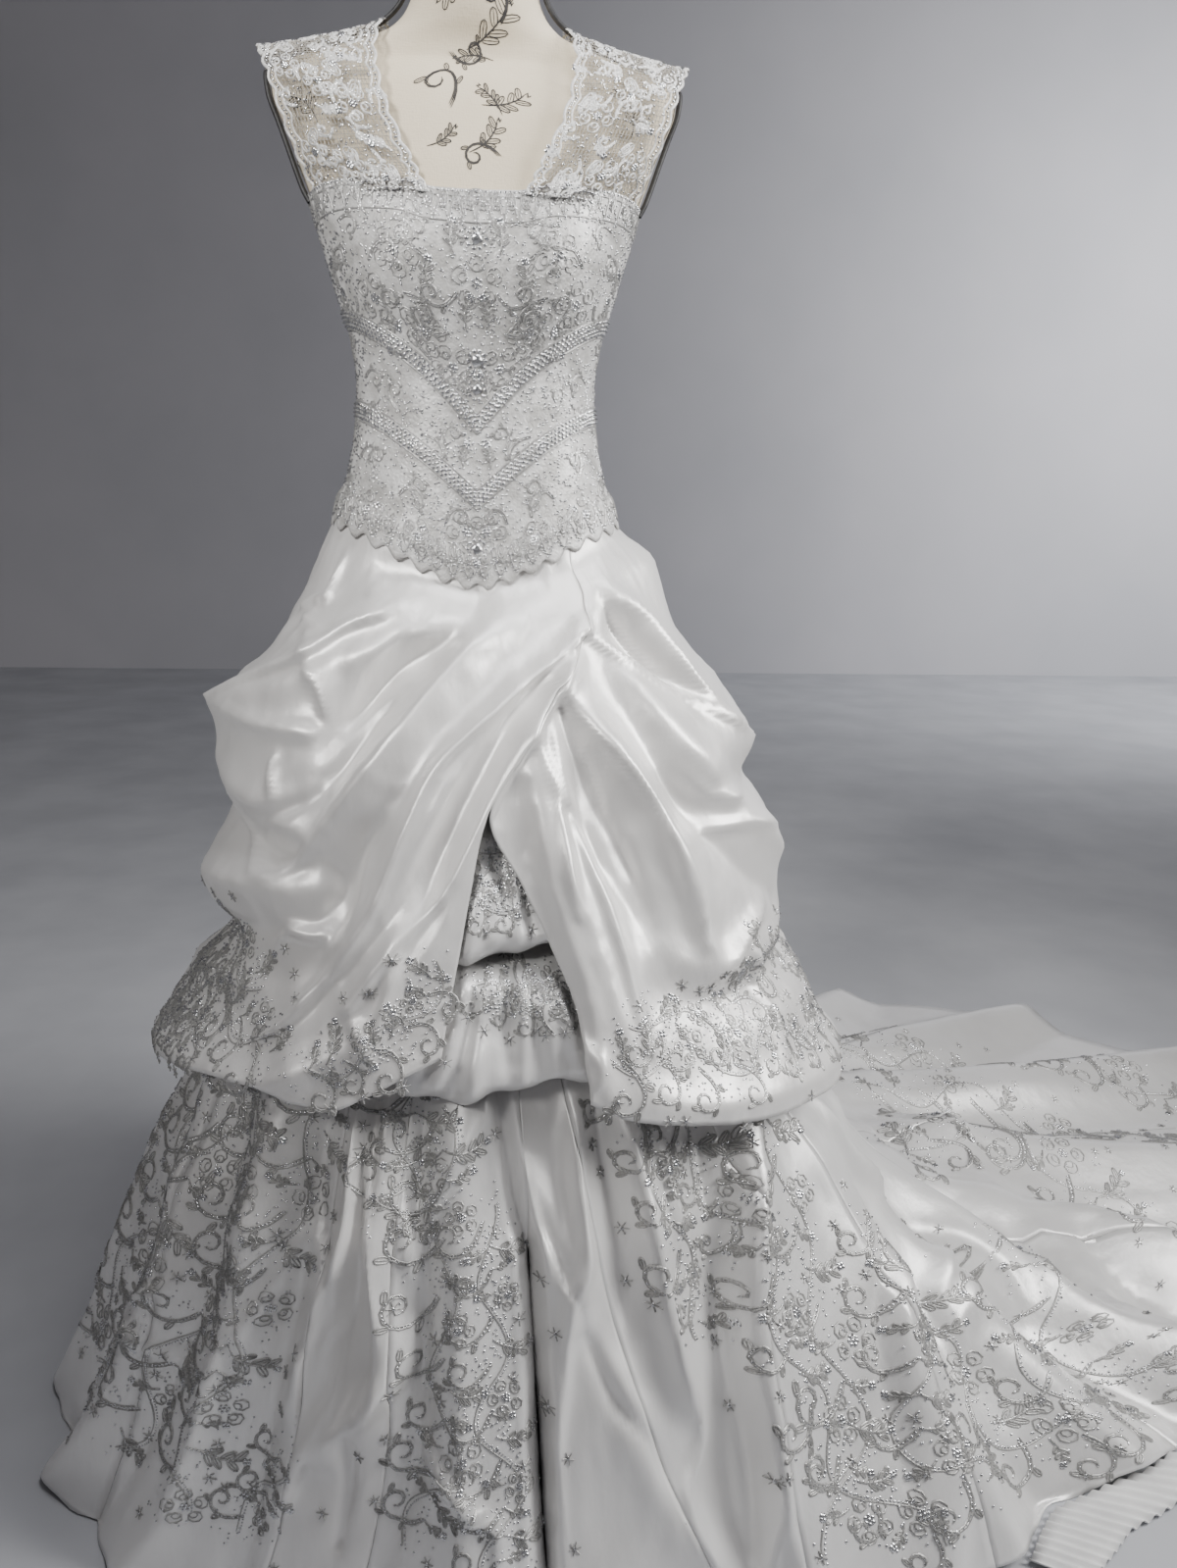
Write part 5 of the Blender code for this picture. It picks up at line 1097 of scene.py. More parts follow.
def scroll(size, hand=1.0):
    """A doubled curl with beads along it and a few small leaves on its back."""
    main = curl(size * 2.3, 1.15, hand)
    inner = curl(size * 1.9, 1.05, hand)
    strokes = [
        ("cord", main, 0.0022), ("cord", moved(inner, x=size * 0.06, y=hand * size * 0.07), 0.0017),
        ("string", moved(curl(size * 2.1, 1.1, hand), x=size * 0.03, y=hand * size * 0.035), 0.0022),
    ]
    for place in (3, 6, 9):
        if place < len(main) - 2:
            step = main[place + 1] - main[place]
            turn = np.arctan2(step[1], step[0]) - hand * 0.9
            strokes += [(k, moved(s, *main[place], turn=turn), w) for k, s, w in leaf(size * 0.20, 0.45, 1)]
    return strokes


def sprig(size, hand=1.0, leaves=6):
    """A bent stem with leaves either side and a bud of beads."""
    stem = curl(size, 0.16, hand, 1.0, 9)
    strokes = [("cord", stem, 0.0022), ("string", stem[::2], 0.0022)]
    for k in range(leaves):
        place = 2 + int(k * (len(stem) - 4) / leaves)
        step = stem[place + 1] - stem[place]
        side = 1 if k % 2 else -1
        turn = np.arctan2(step[1], step[0]) + side * 0.75
        strokes += [(a, moved(s, *stem[place], turn=turn), w) for a, s, w in leaf(size * 0.26, 0.38, 1)]
    tip = stem[-1]
    strokes.append(("bead", tip + np.array(((0, 0), (0.5, 0.5), (0.5, -0.5), (1, 0))) * 0.0042, 0.0038))
    return strokes


def vine(threads, face, stations, size, seed, density=1.0, seeds=26):
    """A stem along (u, v) stations, with scrolls, sprigs, flowers, stars and seed beads about it."""
    rng = np.random.default_rng(seed)
    stations = np.array(stations, float)
    steps = np.linspace(0, len(stations) - 1, 24 * len(stations))
    known = np.arange(len(stations))
    u, v = through(steps, known, stations[:, 0]), through(steps, known, stations[:, 1])
    length = run_of(face.place(u, v)[0])
    even = np.linspace(0, length[-1], max(6, int(length[-1] / 0.005)))
    u, v = np.interp(even, length, u), np.interp(even, length, v)
    per_u, per_v = face.scale(u[len(u) // 2], v[len(v) // 2])
    wave = 0.42 * size * np.sin(even / size * 1.9 + seed)
    du, dv = np.gradient(u) * per_u, -np.gradient(v) * per_v
    long = np.maximum(np.hypot(du, dv), 1e-9)
    for off, width, kind in ((-0.0016, 0.0015, "cord"), (0.0016, 0.0019, "string")):
        x, y = -(dv / long) * (wave + off), (du / long) * (wave + off)
        laid = face.place(u + x / per_u, v - y / per_v)
        threads.draw([(kind, *laid, width)])
    step = max(2, int(size * 0.62 / density / (even[1] - even[0])))
    for number, k in enumerate(range(step // 2, len(u) - 2, step)):
        turn = np.arctan2(dv[k], du[k])
        side = 1.0 if number % 2 else -1.0
        grow = size * rng.uniform(0.72, 1.12)
        pick = number % 4
        if pick in (0, 2):
            motif, lean = scroll(grow * 1.3, side), side * rng.uniform(0.35, 0.7)
        elif pick == 1:
            motif, lean = sprig(grow * 1.1, side), side * rng.uniform(0.6, 1.0)
        else:
            motif, lean = shifted(flower(grow * 0.62), grow * 0.45), side * rng.uniform(0.9, 1.4)
        threads.draw(face.lay(u[k], v[k], turn + lean, motif))
        if rng.random() < 0.6:
            lean = -side * rng.uniform(0.7, 1.3)
            threads.draw(face.lay(u[k], v[k], turn + lean, sprig(grow * 0.62, -side, 4)))
        spread, round_ = rng.uniform(0.15, 0.9, seeds) * size, rng.uniform(0, 2 * np.pi, seeds)
        strewn = face.place(u[k] + spread * np.cos(round_) / per_u, v[k] - spread * np.sin(round_) / per_v)
        threads.draw([("bead", *strewn, 0.0022)])
        far = rng.uniform(1.0, 1.7) * size
        away = turn + side * rng.uniform(1.0, 2.0)
        threads.draw(face.lay(
            u[k] + far * np.cos(away) / per_u, v[k] - far * np.sin(away) / per_v, rng.uniform(0, 3), star(0.012)))


# ---------------------------------------------------------------- overskirt and underskirt shells
# columns of points of the overskirt's shells, then rows and columns of the puffs' and gores'
LEFT_COLUMNS, RIGHT_COLUMNS, BACK_COLUMNS = 152, 128, 64
PUFF_GRID, GORE_GRID, TRAIN_GRID = (40, 60), (68, 29), (84, 42)


def overskirt_shells():
    shift = np.degrees(SEAM_GAP / 2 / LEAST_HIP)
    side_top = basque(radians(SIDE)) + TUCK
    rows = np.concatenate([np.linspace(0, 0.1, 9), np.linspace(0.1, 1, 94)[1:]])
    pieces = {
        "swag_left": (patch(
            tucked(-SIDE + shift, PICK_UP - shift), hem_along(LEFT_HEM, -SIDE + shift, LEFT_HEM[-1, 0] - shift),
            straight((-SIDE + shift, side_top), (-SIDE + shift, LEFT_HEM[0, 1])), tabled(LEAD, -shift),
            LEFT_COLUMNS, rows)),
        "swag_right": (patch(
            tucked(PICK_UP + shift, SIDE - shift), hem_along(RIGHT_HEM, RIGHT_HEM[0, 0] + shift, SIDE - shift),
            tabled(RIGHT_LEAD, shift), straight((SIDE - shift, side_top), (SIDE - shift, RIGHT_HEM[-1, 1])),
            RIGHT_COLUMNS, rows)),
    }
    for name, start, end in (("swag_back_right", SIDE, 180.0), ("swag_back_left", 180.0, 360 - SIDE)):
        start, end = start + shift, end - shift
        hem = hem_along(BACK_HEM, start, end)
        pieces[name] = (patch(
            tucked(start, end), hem,
            straight((start, basque(radians(start)) + TUCK), hem(0)),
            straight((end, basque(radians(end)) + TUCK), hem(1)),
            BACK_COLUMNS, np.append(rows[::2], 1.0)))
    for name, (angle, height) in pieces.items():
        points = wrinkled(over_surface(angle, height), *CRUMPLE)
        cloth(name, "satin", points, satin_over)


def gathered(table, angle, height):
    """Outer face of a puff with uneven gathers that lean together towards its middle."""
    low, high = table[0, 0], table[-1, 0]
    share = (height - low) / (high - low)
    centre = radians(12)
    fan = centre + (angle - centre) * (0.75 + 0.55 * share)
    lift = 0.0032 * np.sin(fan * 47 + 1.3 * np.sin(fan * 9)) + 0.0022 * np.sin(fan * 83 + 4 * share)
    lift = lift + 0.0035 * np.sin(share * 9 + fan * 11)
    free = ease(share / 0.12) * ease((1 - share) / 0.35)
    points = puff_surface(table)(angle, height)
    points = points + at(angle * np.ones_like(share), 1.0, np.zeros(points.shape[:2])) * (lift * free)[..., None]
    # the lower edge hangs unevenly
    drop = 0.007 * np.sin(angle * 9 - 0.9) + 0.003 * np.sin(angle * 31)
    points[..., 2] += drop * (1 - share) ** 2
    return points


def puff_points(table):
    heights = np.linspace(table[-1, 0], table[0, 0], PUFF_GRID[0])[:, None]
    angle = np.radians(np.linspace(*PUFF_ANGLES, PUFF_GRID[1]))[None, :]
    return wrinkled(gathered(table, angle, heights), *CRUMPLE)


def puff_shells():
    for name, table in PUFF_TABLES.items():
        cloth(name, "satin", puff_points(table), satin_gore)


def gore_shells():
    top = np.concatenate([np.linspace(0, 0.09, 6), np.linspace(0.09, 0.42, 8)[1:]])
    for (name, left), (_, right) in zip(LEFT_SEAMS, LEFT_SEAMS[1:]):
        rows, columns = TRAIN_GRID if name.startswith("train") else GORE_GRID
        down = np.concatenate([top, np.linspace(0.42, 1, rows)[1:]])[:, None]
        start, end = (radians(1) * seam_angle(seam, down) for seam in (left, right))
        radius = np.hypot(*np.moveaxis(under_base((start + end) / 2, down)[..., :2], -1, 0))
        gap = SEAM_GAP / 2 / radius
        share = np.linspace(0, 1, columns)[None, :]
        angle = start + gap + (end - start - 2 * gap) * share
        down = np.broadcast_to(down, angle.shape)
        points = wrinkled(under_surface(angle, down), *CRUMPLE)
        points[..., 2] = np.maximum(points[..., 2], FLOOR_SKIN * 0.7)
        finish, slot = (satin_plain, "ivory_satin") if name.startswith("godet") else (satin_gore, "embroidered_satin")
        cloth(name, "satin", points, finish)


overskirt_shells()
puff_shells()
gore_shells()

# ---------------------------------------------------------------- fine faces for the embroidery
def fine_face(surface, angles, downs, columns, rows):
    """A face whose u is an angle in degrees and whose v is the surface's own way down."""
    u = np.radians(np.linspace(*angles, columns))[None, :]
    v = np.linspace(*downs, rows)[:, None]
    return Face(wrinkled(surface(u, v), *CRUMPLE), angles, downs)


UNDER = fine_face(under_surface, (-100.0, 260.0), (0.38, 1.0), 820, 150)
OVER = fine_face(over_surface, (-100.0, 265.0), (0.62, 0.38), 520, 70)
PUFFS = {
    name: Face(puff_points(table), PUFF_ANGLES, (table[-1, 0], table[0, 0]))
    for name, table in PUFF_TABLES.items()
}

# stations (angle, share down) of the vines on the skirt, size of their motifs in metres, seed
SKIRT_VINES = (
    (((41, 0.50), (44, 0.58), (46, 0.66), (45, 0.74), (47, 0.82), (50, 0.90), (54, 0.94)), 0.042, 1),
    (((60, 0.50), (56, 0.58), (53, 0.66), (52, 0.74), (50, 0.80), (46, 0.87), (43, 0.92)), 0.048, 2),
    (((66, 0.66), (62, 0.74), (58, 0.80), (56, 0.86), (60, 0.91)), 0.044, 3),
    (((72, 0.70), (68, 0.78), (66, 0.85), (68, 0.91), (72, 0.94)), 0.050, 4),
    (((84, 0.72), (78, 0.78), (74, 0.84), (73, 0.90), (76, 0.945)), 0.052, 5),
    (((92, 0.75), (87, 0.79), (82, 0.84), (80, 0.89), (83, 0.93), (88, 0.95)), 0.056, 6),
    (((112, 0.739), (114, 0.816), (106, 0.828), (99, 0.851), (94, 0.88), (92, 0.92)), 0.060, 7),
    (((126, 0.80), (122, 0.85), (114, 0.88), (107, 0.91), (101, 0.94)), 0.060, 8),
    (((136, 0.78), (134, 0.86), (128, 0.90), (121, 0.93), (114, 0.95)), 0.060, 9),
    (((150, 0.74), (146, 0.82), (141, 0.88), (137, 0.93)), 0.056, 10),
    (((166, 0.60), (163, 0.72), (160, 0.82), (156, 0.90), (150, 0.94)), 0.054, 11),
    (((28, 0.47), (33, 0.54), (34, 0.62), (36, 0.70)), 0.036, 12),
    (((-8, 0.48), (-5, 0.56), (-6, 0.64), (-4, 0.72), (-6, 0.80), (-9, 0.87)), 0.042, 13),
    (((1, 0.56), (3, 0.64), (2, 0.72), (4, 0.80), (3, 0.88)), 0.036, 14),
    (((-14, 0.455), (-12, 0.52), (-15, 0.58)), 0.040, 15),
    (((-30, 0.48), (-34, 0.56), (-36, 0.64), (-40, 0.72), (-43, 0.80), (-46, 0.88)), 0.046, 16),
    (((-44, 0.47), (-46, 0.55), (-45, 0.63), (-50, 0.71), (-54, 0.79), (-60, 0.87)), 0.048, 17),
    (((-56, 0.47), (-56, 0.56), (-60, 0.64), (-62, 0.72), (-68, 0.80), (-74, 0.87)), 0.048, 18),
    (((-72, 0.48), (-72, 0.58), (-74, 0.68), (-78, 0.78), (-84, 0.87)), 0.050, 19),
    (((-30, 0.80), (-33, 0.86), (-38, 0.90)), 0.036, 20),
    (((-88, 0.50), (-86, 0.62), (-88, 0.74), (-92, 0.86)), 0.050, 21),
    (((184, 0.52), (183, 0.64), (186, 0.76), (190, 0.88)), 0.052, 22),
    (((204, 0.52), (206, 0.64), (204, 0.76), (206, 0.88)), 0.052, 23),
    (((222, 0.52), (220, 0.64), (223, 0.76), (222, 0.88)), 0.052, 24),
    (((240, 0.52), (243, 0.64), (241, 0.76), (244, 0.88)), 0.052, 25),
    (((255, 0.54), (254, 0.66), (256, 0.80)), 0.050, 26),
)
# stations (angle, height) of the vines on the overskirt
SWAG_VINES = (
    (((22, 0.508), (32, 0.500), (42, 0.478), (52, 0.488), (62, 0.470), (72, 0.462), (82, 0.470)), 0.036, 41),
    (((27, 0.540), (36, 0.522), (46, 0.512), (54, 0.530), (60, 0.552), (68, 0.545)), 0.034, 42),
    (((76, 0.560), (78, 0.530), (84, 0.505), (90, 0.480)), 0.036, 43),
    (((-90, 0.500), (-78, 0.505), (-66, 0.515), (-54, 0.520), (-44, 0.510), (-34, 0.500)), 0.038, 44),
    (((-92, 0.555), (-80, 0.560), (-66, 0.562), (-54, 0.556), (-44, 0.545)), 0.036, 45),
    (((-80, 0.465), (-66, 0.480), (-52, 0.492)), 0.032, 46),
    (((-28, 0.500), (-20, 0.515), (-13, 0.535), (-9, 0.565), (-8, 0.590)), 0.032, 47),
    (((104, 0.470), (120, 0.480), (136, 0.462), (152, 0.470), (168, 0.458), (178, 0.465)), 0.044, 48),
    (((186, 0.465), (200, 0.472), (216, 0.468), (232, 0.482), (248, 0.492), (260, 0.498)), 0.044, 49),
    (((104, 0.535), (122, 0.540), (140, 0.525), (158, 0.530), (176, 0.520)), 0.042, 50),
    (((186, 0.520), (204, 0.530), (222, 0.535), (240, 0.545), (258, 0.556)), 0.042, 51),
)
# the same for the puffs, with the share up the puff in place of the height, and the vines' density
PUFF_VINES = {
    "pickup_upper": (
        (((-12, 0.30), (-4, 0.42), (6, 0.34), (16, 0.46), (24, 0.36)), 0.026, 61, 1.3),
        (((2, 0.68), (8, 0.56), (16, 0.66)), 0.020, 62, 1.2),
    ),
    "pickup_lower": ((((0, 0.78), (8, 0.66), (16, 0.74), (22, 0.60)), 0.024, 63, 1.3),),
}
# angle, share up, turn in radians, size and hand of the scrolls set on the lower puff alone
PUFF_SCROLLS = {"pickup_upper": (), "pickup_lower": ((8, 0.62, 0.4, 0.036, 1), (14, 0.42, 2.4, 0.032, -1))}
NEAR_SIDE = (-100, 30)  # angles between which the vines are closer together


def skirt_embroidery():
    near, far, over = Threads(), Threads(1.4), Threads()
    for stations, size, seed in SKIRT_VINES:
        if NEAR_SIDE[0] < stations[len(stations) // 2][0] < NEAR_SIDE[1]:
            vine(near, UNDER, stations, size, seed, 0.95, 22)
        else:
            vine(far, UNDER, stations, size * 1.1, seed, 0.85, 14)
    for stations, size, seed in SWAG_VINES:
        vine(over, OVER, stations, size, seed)
    for name, face in PUFFS.items():
        one = Threads()
        low, high = face.v[1], face.v[0]
        for angle, up, turn, size, hand in PUFF_SCROLLS[name]:
            one.draw(face.lay(angle, low + up * (high - low), turn, scroll(size, hand)))
        for stations, size, seed, density in PUFF_VINES[name]:
            vine(one, face, [(angle, low + up * (high - low)) for angle, up in stations], size, seed, density)
        one.make(f"{name}_embroidery", silver_work("embroidered_satin"))
    near.make("skirt_embroidery", silver_work("embroidered_satin"))
    far.make("train_embroidery", silver_work("embroidered_satin"))
    over.make("overskirt_embroidery", silver_work("overskirt_satin"))


skirt_embroidery()

# ---------------------------------------------------------------- bodice
# height at the front and at the side seams of the two V-shaped beaded bands
CHEVRONS = ((1.034, 1.129), (0.968, 1.0495))
CHEVRON_RISE, CHEVRON_WIDTH = 0.0011, 0.0075
# kind, distance above the middle line and width of the lines that each band is made of
CHEVRON_LINES = (
    ("string", -0.0055, 0.0031), ("string", -0.0018, 0.0031), ("string", 0.0018, 0.0031),
    ("string", 0.0055, 0.0031), ("cord", -0.0085, 0.0018), ("cord", 0.0085, 0.0018),
)
# kind, share down the bodice and width of the neckline's borders
BORDERS = (("string", 0.006, 0.0026), ("cord", 0.020, 0.0018), ("cord", 0.084, 0.0018))
# number of scallops and their shares down the bodice, along the neckline and along the basque
SCALLOPS = ((26, 0.022, 0.086), (22, 0.915, 0.985))
# height and size of the crystals down the middle, each in a ring of beads
CRYSTALS = ((1.186, 0.011), (1.088, 0.012), (1.064, 0.010), (0.925, 0.012))
CRYSTAL_RING, FRONT_RADIUS = 0.0085, 0.105
BODICE_GRID, BACK_GRID, FACE_ROWS = (92, 111), (60, 52), 120  # rows and columns of points


def net_on_satin():
    """Net with open cells under an uneven crust of beading."""
    m = Nodes("beaded_net")
    place = m.place()
    cells = m.add("ShaderNodeTexVoronoi", Scale=230.0, feature="DISTANCE_TO_EDGE")
    m.link(place, cells.inputs["Vector"])
    crust = m.noise(place, 38, 5, 0.62)
    m.paint(crust, (0.38, (0.44, 0.432, 0.416)), (0.52, (0.62, 0.612, 0.598)), (0.68, (0.80, 0.795, 0.785)))
    m.relief(m.bump(crust, 0.7, 0.003, m.bump(cells.outputs["Distance"], 0.45, 0.0012)))
    m.link(m.range(crust, 0.55, 0.32), m.shader.inputs["Roughness"])
    m.set(Metallic=0.12, Sheen_Weight=0.1)
    return m.material


def bodice_outer(angle, height, raised=0.0):
    return at(angle, bodice_face(angle, height) + BODICE_CLOTH + raised, height)


def chevron(share, middle, side):
    """Height of a V-shaped line over the bodice front, for shares of its width from -1 to 1."""
    return middle + (side - middle) * np.abs(np.sin(share * np.pi / 2))


def band_relief(share, height):
    """How far the beaded bands stand out, for shares of the front's width."""
    raised = np.zeros_like(height)
    for middle, side in CHEVRONS:
        raised += CHEVRON_RISE * np.exp(-((height - chevron(share, middle, side)) / CHEVRON_WIDTH) ** 4)
    return raised


def bodice_height(angle, down, foot=basque):
    """Height at a share of the way from the bodice's top edge to its foot."""
    top = neckline(angle)
    return top + (foot(angle) - top) * down


def lace_edge(angle):
    """Scalloped lower edge of the front."""
    return basque(angle) + 0.004 * np.cos(angle * 34) - 0.002


def bodice_shells():
    beaded = net_on_satin()
    share = np.linspace(-1, 1, BODICE_GRID[1])
    angle = (share * (radians(BODICE_SIDE) - SEAM_GAP / 2 / BODICE_RADIUS))[None, :]
    height = bodice_height(angle, np.linspace(0, 1, BODICE_GRID[0])[:, None], lace_edge)
    angle = np.broadcast_to(angle, height.shape)
    panels = {"bodice_front": bodice_outer(angle, height, band_relief(share, height))}
    seam = np.degrees(SEAM_GAP / 2 / BODICE_RADIUS)
    half = np.degrees((ZIP_WIDTH / 2 + SEAM_GAP / 2) / BACK_RADIUS)
    for name, start, end in (
        ("bodice_back_right", BODICE_SIDE + seam, 180 - half),
        ("bodice_back_left", 180 + half, 360 - BODICE_SIDE - seam),
    ):
        angle = np.radians(np.linspace(start, end, BACK_GRID[1]))[None, :]
        height = bodice_height(angle, np.linspace(0, 1, BACK_GRID[0])[:, None])
        panels[name] = bodice_outer(np.broadcast_to(angle, height.shape), height)
    for name, points in panels.items():
        cloth(name, "beaded", points, beaded, BEADED_SHEET)


def bodice_face_grid(start, end, columns):
    angle = np.radians(np.linspace(start, end, columns))[None, :]
    height = bodice_height(angle, np.linspace(0, 1, FACE_ROWS)[:, None])
    raised = band_relief(np.degrees(angle) / BODICE_SIDE, height) if start < 0 else 0.0
    return Face(bodice_outer(np.broadcast_to(angle, height.shape), height, raised), (start, end), (0.0, 1.0))


def down_share(angle, height):
    """Share down the bodice of a height, at angles in degrees."""
    angle = radians(1) * np.asarray(angle, float)
    top = neckline(angle)
    return (height - top) / (basque(angle) - top)


# angle, height, turn in degrees, size, what: the right half of the bodice front, mirrored
BODICE_MOTIFS = (
    (6, 1.205, 75, 0.026, "scroll"), (14, 1.196, 150, 0.022, "scroll"), (24, 1.203, 30, 0.026, "scroll"),
    (36, 1.200, 160, 0.026, "scroll"), (48, 1.206, 40, 0.028, "scroll"), (62, 1.204, 150, 0.026, "scroll"),
    (74, 1.200, 60, 0.026, "scroll"), (10, 1.172, 60, 0.030, "sprig"), (22, 1.168, 20, 0.034, "scroll"),
    (34, 1.175, -30, 0.030, "flower"), (46, 1.168, 110, 0.034, "scroll"), (60, 1.172, -20, 0.032, "sprig"),
    (72, 1.165, 100, 0.030, "scroll"), (0, 1.150, 90, 0.030, "flower"), (9, 1.142, -60, 0.032, "scroll"),
    (20, 1.138, 60, 0.034, "sprig"), (32, 1.142, 170, 0.034, "scroll"), (46, 1.138, 30, 0.030, "flower"),
    (58, 1.142, -80, 0.030, "scroll"), (70, 1.150, 40, 0.028, "sprig"), (5, 1.112, 70, 0.030, "sprig"),
    (14, 1.110, -30, 0.032, "scroll"), (26, 1.112, 100, 0.030, "flower"), (38, 1.118, 40, 0.030, "scroll"),
    (50, 1.118, 150, 0.026, "sprig"), (4, 1.080, -70, 0.028, "scroll"), (13, 1.082, 60, 0.026, "flower"),
    (24, 1.088, 20, 0.026, "scroll"), (35, 1.096, -40, 0.022, "sprig"), (6, 1.055, 80, 0.024, "sprig"),
    (16, 1.012, 60, 0.024, "scroll"), (30, 1.026, 160, 0.028, "scroll"), (42, 1.044, 20, 0.026, "scroll"),
    (54, 1.056, -60, 0.026, "sprig"), (66, 1.076, 130, 0.026, "scroll"), (76, 1.090, 40, 0.026, "scroll"),
    (7, 0.996, 70, 0.022, "sprig"), (24, 1.006, -20, 0.020, "sprig"), (5, 0.940, 60, 0.026, "flower"),
    (8, 0.918, -50, 0.024, "scroll"), (16, 0.948, 100, 0.026, "scroll"), (18, 0.922, 10, 0.024, "sprig"),
    (28, 0.960, 30, 0.028, "scroll"), (28, 0.935, 170, 0.024, "flower"), (40, 0.972, 120, 0.030, "scroll"),
    (40, 0.948, -10, 0.024, "sprig"), (52, 0.985, 30, 0.030, "scroll"), (54, 0.958, 160, 0.026, "flower"),
    (66, 1.004, 110, 0.028, "scroll"), (68, 0.974, 20, 0.026, "sprig"), (78, 1.020, 60, 0.026, "scroll"),
    (78, 0.986, 150, 0.026, "scroll"), (0, 0.912, 90, 0.020, "flower"), (72, 1.128, 80, 0.024, "sprig"),
)
BACK_MOTIFS = tuple(
    (angle, height, turn, 0.034, kind)
    for angle, turn, kind in (
        (100, 60, "scroll"), (118, -40, "scroll"), (136, 100, "flower"), (154, 30, "scroll"), (170, 150, "sprig"),
    )
    for height in (1.175, 1.135, 1.090, 1.045, 1.000, 0.962)
)


def motif_of(kind, size, hand):
    return {"scroll": scroll(size, hand), "sprig": sprig(size, hand), "flower": flower(size)}[kind]


def band_lines(work, face):
    """Strings and cords along the bands and the neckline."""
    share = np.linspace(-0.99, 0.99, 260)
    angle = share * BODICE_SIDE
    for middle, side in CHEVRONS:
        for kind, off, width in CHEVRON_LINES:
            down = down_share(angle, chevron(share, middle, side) + off)
            work.draw([(kind, *face.place(angle, down), width)])
    for kind, down, width in BORDERS:
        work.draw([(kind, *face.place(angle, np.full(len(angle), down)), width)])


def scallops(work, face):
    t = np.linspace(0, 1, 12)
    bow = np.sin(t * np.pi)
    for count, low, high in SCALLOPS:
        for k in range(-count // 2, count // 2):
            angle = (k + t) * 2 * 0.985 * BODICE_SIDE / count
            down = low + (high - low) * bow if low > 0.5 else high - (high - low) * bow
            work.draw([("cord", *face.place(angle, down), 0.0018)])
            work.draw([("string", *face.place(angle, down + 0.006), 0.0020)])
            work.draw(face.lay(float(angle[6]), (low + high) / 2, radians(90), leaf(0.016, 0.5, 2)))


def crystals(work, face):
    t = np.linspace(0, 2 * np.pi, 10, endpoint=False)
    middle = np.array((0.0,))
    for height, size in CRYSTALS:
        work.draw([("bead", *face.place(middle, down_share(middle, height)), size)])
        angle = np.degrees(CRYSTAL_RING * np.cos(t) / FRONT_RADIUS)
        work.draw([("bead", *face.place(angle, down_share(angle, height + CRYSTAL_RING * np.sin(t))), 0.0036)])


def seed_beads(work, face, rng, angles, count, size):
    angle, down = rng.uniform(*angles, count), rng.uniform(0.01, 0.985, count)
    work.draw([("bead", *face.place(angle, down), size)])


def bodice_embroidery():
    front = bodice_face_grid(-BODICE_SIDE + 0.3, BODICE_SIDE - 0.3, 200)
    work, backs = Threads(), Threads()
    for angle, height, turn, size, kind in BODICE_MOTIFS:
        for hand in (1, -1) if angle else (1,):
            facing = radians(turn) if hand == 1 else np.pi - radians(turn)
            down = down_share(hand * angle, height)
            work.draw(front.lay(hand * angle, down, facing, motif_of(kind, size, hand)))
    band_lines(work, front)
    scallops(work, front)
    rng = np.random.default_rng(5)
    seed_beads(work, front, rng, (-BODICE_SIDE + 2, BODICE_SIDE - 2), 3600, 0.0020)
    crystals(work, front)
    work.make("bodice_front_embroidery", silver_work("beaded_bodice"))
    for start, end, hand in ((BODICE_SIDE + 0.5, 177.2, 1), (182.8, 359.5 - BODICE_SIDE, -1)):
        face = bodice_face_grid(start, end, 90)
        for angle, height, turn, size, kind in BACK_MOTIFS:
            place, facing = (angle, radians(turn)) if hand == 1 else (360 - angle, np.pi - radians(turn))
            if start + 4 < place < end - 4:
                backs.draw(face.lay(place, down_share(place, height), facing, motif_of(kind, size, hand)))
        seed_beads(backs, face, rng, (start, end), 900, 0.0019)
    backs.make("bodice_back_embroidery", silver_work("beaded_bodice"))


bodice_shells()
bodice_embroidery()


# ---------------------------------------------------------------- back zip
TOOTH_OFF = 0.0006  # each row of teeth stands this far off the middle, and above or below the other


def zip_pieces():
    tones = ((0.3, (0.66, 0.65, 0.63)), (0.7, (0.76, 0.75, 0.73)))
    NODES["back_zip"].data.materials[0] = mottled("zip_tape", tones, (300, 2), (900, 1), 0.4, 0.0004, Roughness=0.6)
    work = Threads()
    heights = np.linspace(neckline(np.pi) - 0.014, basque(np.pi) + 0.006, 118)
    for side in (-1, 1):
        angle = np.pi + side * (TOOTH_OFF / BACK_RADIUS) * np.ones(len(heights))
        points = bodice_outer(angle, heights - side * TOOTH_OFF)
        work.beads("tooth", points, at(angle, 1.0, np.zeros(len(angle))), 0.0019, 0.0001)
    work.make("back_zip_teeth", {"tooth": (pale_cord, "zip_tape")})


zip_pieces()


# ---------------------------------------------------------------- straps
STRAP_STEPS = 110  # rows of the strap's face over its sections
LAP_ROWS = 7  # rows that the lace runs on over the bodice, in front and behind
NET_SLANTS, NET_RUNGS = 54, 96  # net threads that lean each way, and that cross the strap
LACE_ROWS, LACE_COLUMNS = 20, 5
LACE_KINDS = ("scroll", "flower", "scroll", "sprig", "scroll", "leaf")
# kind, distance from a long edge as a share of the strap's width, and width of the edge's lines
EDGE_LINES = (("cord", 0.012, 0.0026), ("string", 0.045, 0.0026), ("cord", 0.078, 0.0019))
SCALLOP = 0.035


